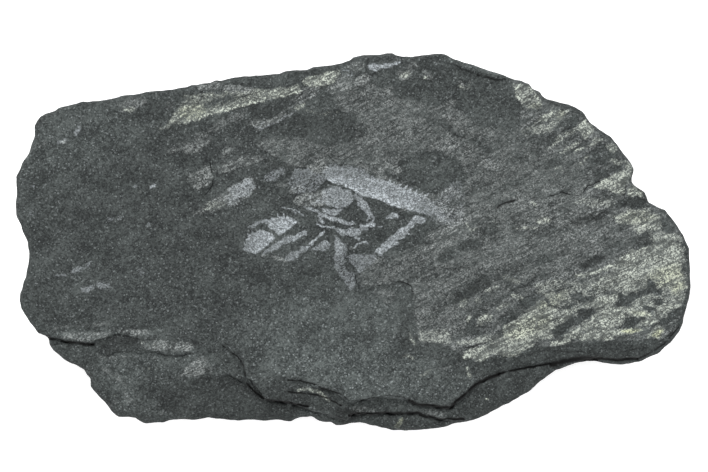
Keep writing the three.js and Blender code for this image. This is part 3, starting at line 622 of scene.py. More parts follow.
BROAD_FILM = [
    # The thin grey and straw film under everything else on the right.
    patch("grey", 0.5, 0.3, [
        (-15, 14.7), (-13.5, 13.9), (-12, 12.9), (-9, 11.6), (-7.2, 11.5), (-5, 12.3), (0.5, 11.8),
        (4, 9.8), (8, 8.4), (11, 6.6), (14.4, 3), (13.2, 1.2), (10, -0.6), (7, -1.9), (3.5, -2.5),
        (2.8, -3.5), (0.5, -4.9), (0.6, -6.6), (1.8, -6.9), (5.4, -6.8), (7.2, -6.2), (9, -6.9),
        (9.4, -8.4), (9.2, -10.6), (10, -12.5), (10.2, -15.8), (13.5, -15.8), (19, -18.6), (22, -17.8),
        (28, -16.5), (31, -16.4), (34, -15.8), (48.4, -15.2), (50.4, -13.5), (51.4, -10), (52.1, -7),
        (52, -3), (51.4, 0.5), (49.8, 2.8), (48.2, 4.6), (46.8, 5.4), (45.2, 7.4), (43.2, 8.9),
        (43.3, 10.9), (42.9, 12.4), (40, 15.8), (36, 18.8), (34.8, 20.2), (31.3, 21.2), (29.6, 21.9),
        (28.2, 23.8), (26.7, 24.7), (24.6, 25.1), (25.3, 22.6), (26, 21.5), (25.9, 18), (24.8, 16.8),
        (24, 16.4), (22.5, 17.7), (20.2, 17.6), (15.7, 21.1), (16.3, 22.1), (15.3, 21.9), (15, 22.8),
        (14.2, 21.4), (13, 21), (11, 21.5), (9, 22.2), (7, 22.4), (6.1, 23.1), (6, 23.9), (4, 24),
        (2.4, 24.7), (0, 25.5), (-1, 26.4), (-2.7, 25.5), (-3.3, 24), (-3, 22), (-2, 20.5), (0.3, 20),
        (0.4, 18), (0.3, 16.3), (-1, 15.3), (-4, 14.8), (-9, 16.3), (-12.5, 16.4), (-15, 15.5)]),
    patch("straw", 0.3, 0.6, [
        (40, 4), (43, 5), (46, 5.2), (47.8, 4), (49.5, 1), (51.4, 0), (52, -4), (51.4, -9),
        (49.6, -12.5), (46, -13.6), (42.6, -13), (38, -14.8), (30, -15), (27, -15.6), (24, -17),
        (18.6, -18), (17.4, -17), (22, -15), (25, -11.4), (30, -9), (30, -6), (34, -6), (40, -5),
        (41, -2.5), (46, -0.6), (46, 1.4), (42, 2.8)]),
    *several(patch, "grey", [
        (0.62, 1.2, [(22, 6), (30, 9), (36, 9), (44, 4), (51, 2), (51, -8), (40, -8), (26, -4)]),
        (0.62, 0.8, [(1, 24), (9, 21), (14.5, 16), (20, 13.4), (24, 11), (19, 12), (13, 14.6), (5, 17)]),
        (0.72, 0.8, [(13, 2.6), (15.8, 2), (18, 2.6), (17, 5), (15.8, 8.6), (14, 8.6), (12.6, 6.2)]),
    ]),
    # The upper windows where the film has gone, and the denser film round them.
    patch("bare", 0.92, 0.25, [
        (4.9, 10.4), (6.2, 12), (8.2, 13.3), (11, 14.2), (13.2, 14.1), (16.2, 12.9), (17.6, 10.6),
        (17.5, 8.6), (15.3, 7.6), (14.3, 8.2), (13, 7.2), (11, 7.4)]),
    *several(leaf, "grey", [
        (0.85, 14.6, 1.4, 7, 1.7, 12, 0.4), (0.8, 13, -0.6, 5, 0.9, 15),
        (0.8, 15.8, 3.6, 5, 1.4, 10, 0.5), (0.9, 14.9, 7.4, 2.4, 1.6, 45),
        (0.85, 5.3, 11.8, 4.6, 1.9, -20, 0.4), (1.1, -5.6, 11.7, 3.4, 1.7, -10, 0.3),
    ]),
    leaf("bare", 0.6, 19.6, 9, 3.6, 1.4, -15, 0.5),
    patch("silver", 0.22, 0.8, [(11, 3.5), (13, 2.6), (16.5, 2.2), (17.6, 5), (17, 9.6), (14.8, 9.4)]),
    # More windows where the film has gone.
    patch("bare", 0.65, 0.25, [
        (6.9, -1.2), (8.2, 0), (9.2, 1.4), (10, 2.2), (11.8, 3), (12.8, 2.4), (12, 1.4), (8.2, -1.4)]),
    patch("bare", 0.55, 0.3, [
        (8, 19.6), (12, 18.6), (14, 17.4), (16.6, 16.2), (20.6, 13.5), (21.2, 14), (19.9, 15.3),
        (16.8, 17.2), (11, 20), (8.4, 20.6)]),
    patch("bare", 0.6, 0.3, [
        (26, 15.6), (28, 15.4), (31, 14.8), (32.2, 16.4), (31.4, 17.2), (29.4, 16.6), (27.4, 16.4)]),
    patch("bare", 0.75, 0.25, [
        (29, 11.2), (30.2, 11), (31, 11.6), (32.4, 12), (32.6, 13.2), (31.2, 12.8), (30, 12.2)]),
    patch("bare", 0.9, 0.25, [
        (36.2, 12.4), (36.4, 13.7), (38.5, 15.3), (39.4, 15.2), (40, 14), (41.6, 13.8), (41.3, 12.9),
        (40.2, 12.7), (39.5, 12.1), (38, 11.8)]),
    patch("bare", 0.8, 0.3, [
        (36, 11.6), (37.6, 11.7), (39.6, 11.2), (39.6, 10.2), (38.6, 9.5), (37.4, 9.2), (37.6, 10.2)]),
    patch("bare", 0.9, 0.25, [
        (42.3, 7), (43.3, 6.6), (44.5, 7), (45.7, 6.8), (46, 6), (45, 5.4), (41.5, 5.1), (39.6, 5.5),
        (42, 6.4)]),
    patch("bare", 0.8, 0.25, [
        (37.3, 4.2), (38.5, 4.8), (39.6, 5.6), (40.2, 5.3), (39.3, 4.2), (38.3, 3.3), (37.5, 3.3)]),
    patch("bare", 0.55, 0.25, [
        (38.9, -1.9), (40, -1), (43.5, 0.8), (46, 1.3), (46.6, 0.8), (46.3, -0.5), (43.9, -1),
        (42.6, -0.9), (39.6, -2.2)]),
    patch("bare", 0.9, 0.25, [
        (35, -3.9), (36, -3), (38.6, -1.6), (39.1, -2.6), (38.6, -3.3), (37.6, -3.9), (36.3, -4.2)]),
    patch("bare", 0.8, 0.35, [
        (13.6, -10.3), (14, -9.4), (16, -8.2), (18.3, -6.2), (20.3, -5.1), (21.4, -5.4), (21.4, -6.8),
        (19.8, -7.4), (18.3, -8.6), (16.5, -9.8)]),
    patch("bare", 0.9, 0.25, [
        (17.6, -12.3), (18.6, -11.3), (20, -10.6), (21.4, -10.7), (19.2, -11.6), (19, -13.3),
        (19.3, -14.2), (21.5, -14.6), (23.2, -14.2), (23.2, -12.8), (22.4, -12), (23.6, -11.4),
        (26.4, -10.9), (25, -12.1), (24, -12.4), (23.4, -14.6), (21, -14.9), (17.4, -14.6),
        (17.4, -13.4)]),
    patch("bare", 0.92, 0.2, [
        (31.2, -13.6), (33.3, -12.2), (34.5, -11.9), (34.8, -11.2), (35.5, -10.6), (37, -10.4),
        (38, -10.9), (37.2, -11.6), (35.4, -12.8), (34, -13.4), (33, -14.3), (32, -14.9), (31.3, -14.8)]),
    *several(patch, "bare", [
        (0.5, 0.4, [(22.2, 15), (24, 14.8), (24.4, 16.2), (23.4, 17.2), (22.2, 16.6)]),
        (0.6, 0.35, [(27.2, 13.4), (29, 13.5), (29.6, 14.6), (27.8, 14.7)]),
        (0.6, 0.3, [(24.6, 12.6), (27, 12), (27.4, 13), (25.4, 13.4)]),
        (0.85, 0.25, [(32.4, 17), (33.3, 19), (34.3, 19.8), (35, 20), (34.7, 17.7), (33.5, 17.2)]),
        (0.9, 0.2, [(39.8, 11.8), (41.5, 12), (42.3, 11.6), (42, 11.1), (40.6, 10.9), (39.8, 11.2)]),
        (0.6, 0.3, [(33, 9.4), (36.7, 9.6), (36.4, 10.2), (33.4, 10.3)]),
        (0.6, 0.4, [(27.8, 6.8), (29.2, 6.6), (30.2, 7.4), (29.4, 8.2), (28.2, 8.2)]),
        (0.7, 0.3, [(33.4, 2.8), (34, 3.5), (35.4, 4), (36.8, 4), (37, 3), (35.6, 2.6)]),
        (0.8, 0.2, [(40.4, 1.6), (41.5, 2.1), (43, 2.5), (42.5, 1.8), (41.4, 1.4)]),
        (0.9, 0.25, [(47.9, 3.2), (49, 3), (49.8, 2.4), (49.9, 1.6), (49.2, 0.9), (48.4, 1.5)]),
        (0.9, 0.2, [(26.5, -8.6), (28.5, -7.8), (29.6, -8.2), (28.3, -9.8), (26.8, -10.1), (25.2, -9.8)]),
        (0.85, 0.2, [(35, -9.6), (35.4, -8.8), (36.4, -8.3), (37.9, -8.3), (37, -9), (36, -9.4)]),
        (0.9, 0.15, [(37.8, -9.6), (38.8, -9.1), (39.9, -8.9), (40.1, -9.2), (39, -9.8)]),
        (0.7, 0.2, [(32, -10.2), (34.6, -9.9), (34.2, -10.7), (32.4, -11)]),
    ]),
    *several(leaf, "bare", [
        (0.7, 6.4, -2.5, 4, 0.7, 20), (0.6, 30.2, 1.8, 3.4, 1.2, 25), (0.6, 29.6, -2.8, 4.4, 1.1, 14),
        (0.5, 20.6, 1.5, 4, 0.9, -8), (0.8, 18, -0.5, 4.4, 1.8, 10), (0.6, 15, -2.2, 4, 1.2, 30),
        (0.6, 24.4, -4.5, 3.4, 1.1, 5), (0.6, 15.6, 6, 1.2, 1.4, 0), (0.7, 32.2, 4.8, 1, 0.8, 0),
        (0.5, 25, 3.6, 2.4, 0.8, -20),
    ]),
    *several(streak, "bare", [
        (0.9, 0.35, [(31.3, 20.6), (30.9, 19.4), (30.3, 18.3)]),
        (0.9, 0.5, [(32.4, 13.3), (35.2, 14.8), (36.2, 15.5)]), (0.8, 0.45, [(41.6, -3.4), (43.3, -3.3)]),
        (0.75, 0.5, [(21.8, -9.9), (23.6, -8.8), (25, -7.6), (27, -6.8), (28.4, -5.8), (31, -5)]),
        (0.5, 0.9, [(22.4, -5.6), (24, -5.9)]),
    ]),
]

STRAW_FILM = [
    # The lower right, from the centre of the film out to the edge.
    patch("straw", 0.72, 0.25, [
        (23.4, -13.2), (26.8, -11.6), (27, -10.9), (27.6, -10.3), (28.2, -10.1), (28.6, -9.5),
        (29.2, -9.3), (30, -9.7), (31, -10), (31.6, -10.6), (31.4, -11.4), (30.5, -12), (30, -12.5),
        (31.7, -12.9), (31.6, -13.4), (30.5, -14), (31.4, -14.9), (30.2, -15.2), (29, -15.1),
        (28, -15.4), (26, -15.3), (24, -14.9), (23.4, -14.3)]),
    patch("straw", 1.4, 0.3, [
        (24.9, -13.8), (26, -13.9), (27, -13.4), (27.2, -14.2), (27, -14.9), (25.6, -14.9), (25, -14.5)]),
    patch("straw", 1.35, 0.3, [
        (26.6, -11.6), (28.2, -11), (29.8, -10.6), (30.6, -11.2), (30.2, -12), (28.4, -12.2)]),
    patch("straw", 0.75, 0.2, [
        (38.3, -8.9), (39.5, -8.3), (41.2, -8), (40.8, -9), (40.1, -9.8), (38.5, -9.9), (37.6, -10.3),
        (35.2, -9.9), (37.4, -9.5)]),
    patch("straw", 0.62, 0.25, [
        (40.5, 4), (43.5, 4.9), (45.4, 4.9), (46.4, 4.4), (48, 3.9), (46, 3.2), (43.3, 2.5), (41, 3)]),
    patch("straw", 0.95, 0.15, [
        (44.5, -13.1), (45, -12.6), (46, -12.1), (47.3, -11.9), (47, -12.4), (46.4, -12.8),
        (45.6, -13.2)]),
    patch("straw", 0.95, 0.25, [
        (45.5, -14.9), (47.4, -13.3), (48.4, -13.4), (48.5, -13.9), (47.6, -15.1), (46.7, -14.9),
        (46, -15.2)]),
    *several(leaf, "bare", [
        (0.6, 38.6, -7.2, 3.6, 0.5, 14), (0.5, 40, -6.3, 2.6, 0.35, 25), (0.6, 43.6, -5.2, 2.4, 0.3, 30),
        (0.6, 44.6, -3.6, 2.6, 0.3, 25), (0.5, 47.6, -1.6, 2.6, 0.35, 28), (0.6, 50.8, -5.2, 2, 0.7, 70),
        (0.5, 38.8, -11.9, 2.2, 0.3, 35), (0.5, 37, -13.4, 2.4, 0.3, 28),
        (0.5, 28.8, -11.5, 2.6, 0.3, 35), (0.6, 30.6, -13.4, 1.8, 0.4, 20),
        (0.5, 26.6, -16, 3.2, 0.4, 25), (0.7, 28.9, -15.9, 2.2, 0.6, 8),
    ]),
    patch("straw", 0.66, 0.2, [
        (32.6, -14.9), (35.3, -13.4), (36.4, -12.6), (37.4, -11.6), (38.3, -11), (39.4, -10.7),
        (42, -11.2), (42.3, -11.9), (41.9, -12.7), (40.2, -13.7), (40.2, -14.6), (40.6, -15),
        (38.2, -15.1), (36.5, -15.4), (34, -15.1), (33, -15.1)]),
    patch("straw", 0.7, 0.2, [
        (37.9, -10.4), (42.6, -10), (43.8, -9.3), (45, -8.8), (46.4, -9), (47, -9.6), (49, -9.8),
        (51.2, -9.7), (51, -10.4), (49.6, -10.5), (48.5, -11.2), (47.4, -11.1), (47.2, -10.4),
        (46, -9.9), (44.4, -10.3), (43, -10.9), (39.2, -11)]),
    patch("straw", 1.4, 0.15, [
        (40.2, -14), (42.3, -13.5), (44, -13.5), (45.1, -13.8), (44.4, -14.1), (43.2, -14.3),
        (42, -14.6), (41.2, -14.7), (40.3, -14.5)]),
    patch("straw", 1.5, 0.12, [
        (43, -11.2), (44.2, -10.6), (45.3, -10.9), (46.3, -11.3), (46.2, -11.6), (45, -11.7),
        (44.2, -11.5), (43.2, -11.4)]),
    *several(leaf, "ochre", [
        (0.9, 43.2, -13.9, 3, 0.8, 4), (0.9, 47.4, -14.4, 2.2, 1.2, 30), (0.4, 44.8, -11.2, 3, 0.8, -14),
        (0.5, 48.6, -5.4, 6, 3, 20, 1.2), (0.6, 50.6, -7.2, 3, 1.6, 30, 0.7), (0.5, 31, -9, 5, 2, 30, 1),
        (0.3, 27, -13.4, 8, 3, 20, 1), (0.3, 44.5, 3.8, 6, 2, 0, 1),
    ]),
    *several(leaf, "straw", [
        (0.95, 28.2, -13.4, 2.4, 0.8, 25), (1.45, 31.9, -9.2, 2.2, 1.1, 20),
        (1.1, 34.4, -14.3, 2.2, 0.7, 35), (1.2, 32.3, -15.7, 3.2, 0.7, 6), (0.9, 33.8, -11, 2, 0.7, 20),
        (0.8, 32.6, -12.1, 2.4, 0.6, 15),
    ]),
    patch("straw", 0.3, 0.35, [
        (28, -7), (29.4, -6.4), (31.4, -6), (33.8, -6.4), (35.4, -7.4), (35, -9), (33.6, -9.8),
        (31.8, -10), (30.6, -9.4), (29.6, -8.4), (28.6, -7.8)]),
    leaf("straw", 0.5, 32.6, -8.6, 3.2, 1.6, 25, 0.5),
    *several(leaf, "bare", [
        (0.5, 32.8, -7.3, 3.6, 1, 12), (0.75, 34.8, -8.5, 2.4, 1.2, 20), (0.5, 36.2, -6.2, 3.4, 0.4, 12),
    ]),
    *several(patch, "straw", [
        (0.42, 0.5, [(36, -7), (37.6, -5.6), (40.4, -5), (41.6, -2.6), (43, -2), (42, -8), (38, -7.6)]),
        (0.55, 0.35, [(43.4, 1.9), (46, 2.9), (47.7, 3), (47.9, 2), (46.6, 1.5), (44.4, 1.2)]),
    ]),
    patch("straw", 0.62, 0.5, [
        (41, -4.8), (42, -2.4), (44, -1.4), (46.6, -0.6), (49.6, -0.2), (51.2, -0.8), (51.4, -2.4),
        (50.4, -3.4), (51.4, -4.4), (51.9, -7), (50.4, -8), (47.6, -6.8), (46.6, -5.8), (44, -7.8),
        (41.4, -8)]),
    *several(patch, "straw", [
        (0.74, 0.6, [(46.5, -5.2), (48, -3), (50, -1.6), (51, -3), (51.4, -6), (50.6, -7.4)]),
        (0.5, 0.3, [(49.4, -8), (51.7, -8.2), (51.4, -9.5), (49.6, -9.3)]),
        (0.6, 0.3, [(46.9, 0.5), (50.6, 1.4), (51.2, 0.5), (48, -0.7), (46.8, -0.4)]),
    ]),
    *several(streak, "straw", [
        (1.2, 0.4, [(34.6, -5.4), (38.4, -4.6), (40.4, -3.7)]),
        (1.9, 0.22, [(37.7, -15.15), (39, -15.2), (40.4, -15.1)], 0.1),
    ]),
    leaf("straw", 1.3, 43.2, -1.8, 1.4, 0.35, 50),
    streak("straw", 1.4, 0.35, [(41.8, -2.9), (43.1, -3.05)]),
    # Gaps in it.
    patch("bare", 0.92, 0.2, [
        (45.1, -7.3), (46.2, -6), (47, -6.4), (47.6, -7.2), (48.4, -7.7), (47.5, -8.2), (46.2, -8),
        (44.9, -8.5), (43.7, -9.2), (43.2, -9.9), (41, -10), (41, -9.3), (41.3, -8.2), (43.5, -8.1),
        (44.4, -7.9)]),
    patch("bare", 0.9, 0.15, [
        (44.9, -10.1), (46.3, -10), (47.3, -10.5), (47.2, -11.1), (46.4, -11), (45.6, -10.7)]),
    patch("bare", 0.95, 0.15, [
        (42.2, -11.7), (43.5, -11.6), (45.8, -11.75), (46, -12), (44.9, -12.3), (44.2, -12.9),
        (43.5, -13.3), (41.6, -13.3), (42, -12.8)]),
    patch("bare", 0.9, 0.25, [
        (48, -12), (49, -11.3), (50.4, -11.1), (50.6, -12), (48.3, -13.2), (47.6, -13), (46.4, -13.4),
        (46.2, -13)]),
    *several(streak, "bare", [
        (0.8, 0.45, [(17.2, -16.9), (20.5, -15.9), (22.4, -15.1)]),
        (0.7, 0.25, [(26, -13.9), (27, -13), (27.6, -12), (28.3, -11.4)]),
        (0.7, 0.2, [(27.3, -12.7), (28.6, -12.6)]), (0.7, 0.2, [(29.2, -10.4), (29.6, -11.7)]),
        (0.6, 0.25, [(24.6, -15.1), (26, -15.2), (27.4, -15.9)]),
        (0.6, 0.4, [(29.6, -9), (30.8, -9.8), (31.8, -10.6)]),
        (0.7, 0.4, [(28.6, -12.9), (30, -12.5), (31.4, -12.3)]),
        (0.6, 0.35, [(25.3, -13.9), (26.4, -13.4)]), (0.7, 0.4, [(50, -0.1), (51.4, -0.2)]),
    ]),
    *several(patch, "bare", [
        (0.9, 0.2, [(46.3, -9.2), (47.6, -8.8), (48.5, -9.4), (49.6, -9.6), (48, -9.9), (46.8, -9.7)]),
        (0.8, 0.2, [(49.8, -10.3), (50.9, -10.6), (50.6, -11.3), (49.8, -11)]),
    ]),
    *several(leaf, "bare", [(0.9, 22.8, -17.6, 2.6, 0.8, 5), (0.7, 51.6, -4.6, 2, 0.6, 80)]),
    # Upper right, up to the back edge, with a few scraps nearer the middle.
    patch("straw", 0.4, 0.2, [
        (24.6, 24.7), (25, 24), (25.3, 22.6), (26, 21.9), (26.2, 21.2), (28.6, 20.4), (29.4, 20.7),
        (28.9, 22), (27.5, 24.3), (26.5, 24.3)]),
    patch("straw", 0.62, 0.15, [
        (34.9, 17.6), (36, 18.9), (36.2, 18.6), (37.2, 18.2), (37.5, 17.3), (36.1, 16), (35.6, 16.4)]),
    patch("grey", 0.8, 0.3, [
        (14.4, 16.8), (16, 15.9), (18, 14.2), (20.5, 12.8), (22.5, 11.4), (21, 11), (17, 13.2),
        (14.4, 15.4)]),
    *several(streak, "straw", [
        (1.3, 0.25, [(26, 24.2), (25.4, 23.8), (25.2, 23.2), (25.5, 22.6), (25.9, 22.1)]),
        (0.75, 0.25, [(26.8, 24.4), (27.5, 24.2), (27.9, 23.4)]),
        (0.8, 0.25, [(26.2, 16.9), (27.4, 17.7), (28.4, 18.4)]), (1.3, 0.25, [(34.9, 17.6), (36, 18.8)]),
        (1.35, 0.3, [(32.3, 13.7), (34.9, 15.5)]), (1.3, 0.25, [(34.4, 13.9), (35.6, 14.6)]),
        (0.7, 0.3, [(36.1, 12.7), (36.4, 13.3)]), (0.7, 0.35, [(31.5, 11.4), (32.4, 11.5), (32.6, 11)]),
        (0.5, 0.25, [(16.3, 24.3), (17, 23.9), (17.5, 23.9), (18.2, 24.5)]),
        (0.6, 0.3, [(28, 6.2), (28.4, 5.6)]), (0.55, 0.4, [(17.6, 2.6), (18.4, 1.7), (19.3, 2.1)]),
        (0.4, 0.3, [(21.4, 2.6), (22, 3.2), (22.6, 2.2)]),
    ]),
    patch("straw", 0.66, 0.2, [
        (36, 14.6), (36.8, 15.2), (37.3, 15.9), (38.4, 16.2), (39, 15.9), (38, 15.2), (37, 15)]),
    *several(patch, "straw", [
        (1.1, 0.12, [(28.6, 19.1), (30, 19.9), (31, 20.6), (31.1, 20.2), (30.4, 19), (29.4, 18.7)]),
        (0.3, 0.3, [(31.6, 15.4), (34.2, 16.6), (35, 17.6), (34.2, 17.7), (32.4, 16.9), (31.2, 16.2)]),
        (0.55, 0.2, [(39.5, 14.8), (40.3, 15.2), (41.2, 14.6), (41, 13.9), (39.9, 13.8)]),
        (0.5, 0.2, [(40.3, 12.9), (41.5, 12.8), (42.4, 12.6), (42.4, 12), (41, 11.9), (40, 12.4)]),
        (0.45, 0.2, [(42.5, 12.4), (43.2, 12.2), (43.5, 11), (43.2, 9.8), (42.6, 10.4), (42.4, 11.4)]),
        (0.25, 0.6, [(36, 7), (40, 7), (41.4, 6.4), (40, 5.4), (36.6, 5.4), (34, 6)]),
    ]),
    patch("straw", 0.42, 0.15, [
        (31.4, 20.4), (33.4, 20.5), (33, 19.8), (32.4, 19.2), (31.3, 17.8), (30.6, 17.2), (30, 17.6),
        (30.9, 19.2)]),
    patch("straw", 0.72, 0.25, [
        (37.3, 8.6), (39.3, 9.7), (40.5, 10.6), (41.6, 11), (42.4, 10.8), (43.2, 9.9), (42.2, 8.9),
        (42.3, 7.6), (41.7, 7.3), (39.6, 8), (38, 8.2)]),
    patch("straw", 0.9, 0.15, [
        (42.5, 8.1), (43, 8.6), (44, 8.4), (45.2, 7.5), (45, 7), (43.8, 7.1), (43.2, 6.9), (42.6, 7.2)]),
    *several(leaf, "straw", [
        (0.8, 25.9, 23.3, 1, 0.5, -60), (0.7, 28.7, 22, 2.2, 0.4, -60), (0.7, 30.4, 17.4, 1.2, 0.5, 10),
        (0.95, 36.1, 16.4, 0.9, 0.6, 50), (0.8, 35.5, 12.1, 0.6, 0.5, 0), (1.25, 39.2, 9.3, 1.6, 0.6, 30),
        (0.6, 29.6, 3.3, 2.4, 1.2, 10),
    ]),
    *several(streak, "straw", [
        (0.8, 0.25, [(33.3, 20.3), (32.5, 19.2), (31.8, 18.1)]),
        (0.5, 0.3, [(30.4, 14.6), (31.4, 15.4), (34.4, 17.2)]),
        (0.45, 0.35, [(25.2, 2.2), (26, 2), (28.4, 2.2)]),
    ]),
    *several(leaf, "ochre", [(0.3, 28.4, 21, 2.4, 1.2, 0), (0.4, 32.2, 19.8, 1.6, 1, 30)]),
    patch("grey", 0.75, 0.4, [(26, 16.8), (28.6, 18.4), (28.8, 20.2), (26.2, 21)]),
    streak("grey", 0.9, 0.25, [(20.2, 17.6), (21.5, 17.7), (22.8, 17.6), (23.6, 17), (24.2, 16.4)]),
    patch("straw", 0.3, 0.25, [
        (26.2, 16.6), (28.6, 18.5), (29.6, 18.4), (30.4, 17.4), (29.4, 16.9), (27.6, 16.4)]),
    # Over the lower centre.
    patch("straw", 0.5, 0.25, [
        (19.2, -13.2), (19.4, -12.2), (20.6, -11.3), (21.6, -11.4), (21.8, -12.6), (20.6, -13)]),
    patch("straw", 0.4, 0.25, [
        (10.2, -14), (12, -13.8), (14.6, -13.7), (15.2, -14.6), (15, -16), (12.4, -15.8), (10.3, -15.5)]),
    patch("grey", 0.8, 0.25, [
        (10.1, -14.2), (14, -13.9), (17, -13), (17.4, -14.4), (18.8, -15), (23, -14.3), (23.4, -14.9),
        (20.5, -15.9), (17.3, -16.8), (15, -16.5), (13.5, -15.8), (10.5, -15.7)]),
    *several(leaf, "straw", [
        (0.45, 25.5, -8.6, 2, 0.9, -20), (0.4, 21, -7.7, 1.2, 0.8, 20), (0.4, 22.2, -7.3, 1, 0.8, 20),
        (0.45, 23.4, -10, 2.4, 0.7, 25), (0.4, 24.6, -6, 3, 0.9, -20), (0.4, 17.2, -9.5, 1.6, 1.1, 60),
        (0.4, 19.3, -9.3, 1.4, 1, 0), (0.5, 19.4, -15.4, 7, 1, 10), (0.5, 11.2, -20.6, 2, 0.5, 30),
        (0.75, 17.8, -19.8, 0.9, 0.5, -50), (0.75, 18.2, -20.9, 1.1, 0.5, -60),
        (0.8, 20.7, -24.5, 0.5, 0.4, 0, 0.1),
    ]),
    patch("straw", 0.58, 0.2, [
        (18.4, -16.8), (20, -16.3), (22, -15.5), (24, -15.2), (27, -15.4), (28.2, -16), (27, -16.8),
        (25.5, -17.5), (26, -17.8), (24, -18.2), (22.8, -17.3), (21.4, -17.3), (21, -18), (20.2, -18.6),
        (19, -18.4), (18.2, -17.8), (17.4, -18.2), (17.2, -17.4)]),
    *several(streak, "straw", [
        (1.2, 0.35, [(19.7, -12), (20.4, -11.7), (20.9, -11.3)]),
        (1.2, 0.35, [(17.6, -12.6), (18, -11.6)]),
        (0.7, 0.35, [(8.8, -14.4), (9.2, -15.2), (9.6, -15.9)]),
        (0.6, 0.35, [(7.7, -18), (8.2, -17.7), (8.9, -17.9), (9.3, -18.4)]),
    ]),
    *several(patch, "grey", [
        (0.6, 0.25, [(3.2, -7.7), (5, -7.3), (6.4, -8), (6.2, -9.5), (4.8, -9.6), (3.8, -8.8)]),
        (0.7, 0.25, [(8.8, -11), (10, -10), (12.3, -10.2), (12, -11.2), (10, -11.6)]),
    ]),
    *several(leaf, "straw", [(0.85, 17.7, -17.7, 1.2, 0.9, 0), (1.1, 20.2, -17.8, 1.8, 0.9, 60)]),
    leaf("grey", 0.5, 12.6, -11.6, 6.5, 1.7, 20),
    streak("grey", 0.7, 0.2, [(13.3, -19.9), (15, -19.5), (17, -18.9)]),
    # Gaps all over, made after the rest of the straw film, and the last scraps of it.
    *several(leaf, "bare", [
        (0.35, 29.2, -10.2, 4, 1.3, 15), (0.4, 40.6, -8.1, 3.6, 1.2, 10),
        (0.4, 40.9, -12.3, 3.4, 1.2, 15), (0.5, 12.4, -14.3, 4.4, 1.2, 5),
        (0.35, 35.4, -14.2, 2.2, 1.2, 20), (0.4, 20.8, -13.2, 3.6, 2, 20, 0.3),
        (0.5, 21, 1.4, 3, 1.2, 20), (0.5, 14.4, -2, 2.6, 1.8, 30), (0.5, 29.6, -2.9, 3, 1, 15),
    ]),
    *several(streak, "bare", [
        (0.85, 0.35, [(29.5, -8.8), (30.6, -9.6), (31.8, -10.7)]),
        (0.8, 0.3, [(31.8, -10.7), (33.4, -10.3), (35.2, -10)]),
        (0.8, 0.8, [(13.2, 18.9), (14.6, 17.8), (16.4, 16.4)]),
        (0.8, 0.7, [(19.2, 15.6), (20.2, 14.8), (21.2, 13.9)]),
    ]),
    *several(leaf, "straw", [
        (0.5, 45, -6.7, 1.7, 1.4, 0), (0.5, 46, -8.7, 2.4, 0.6, 10), (0.7, 29.6, -12.3, 2.4, 1.4, 25),
    ]),
]

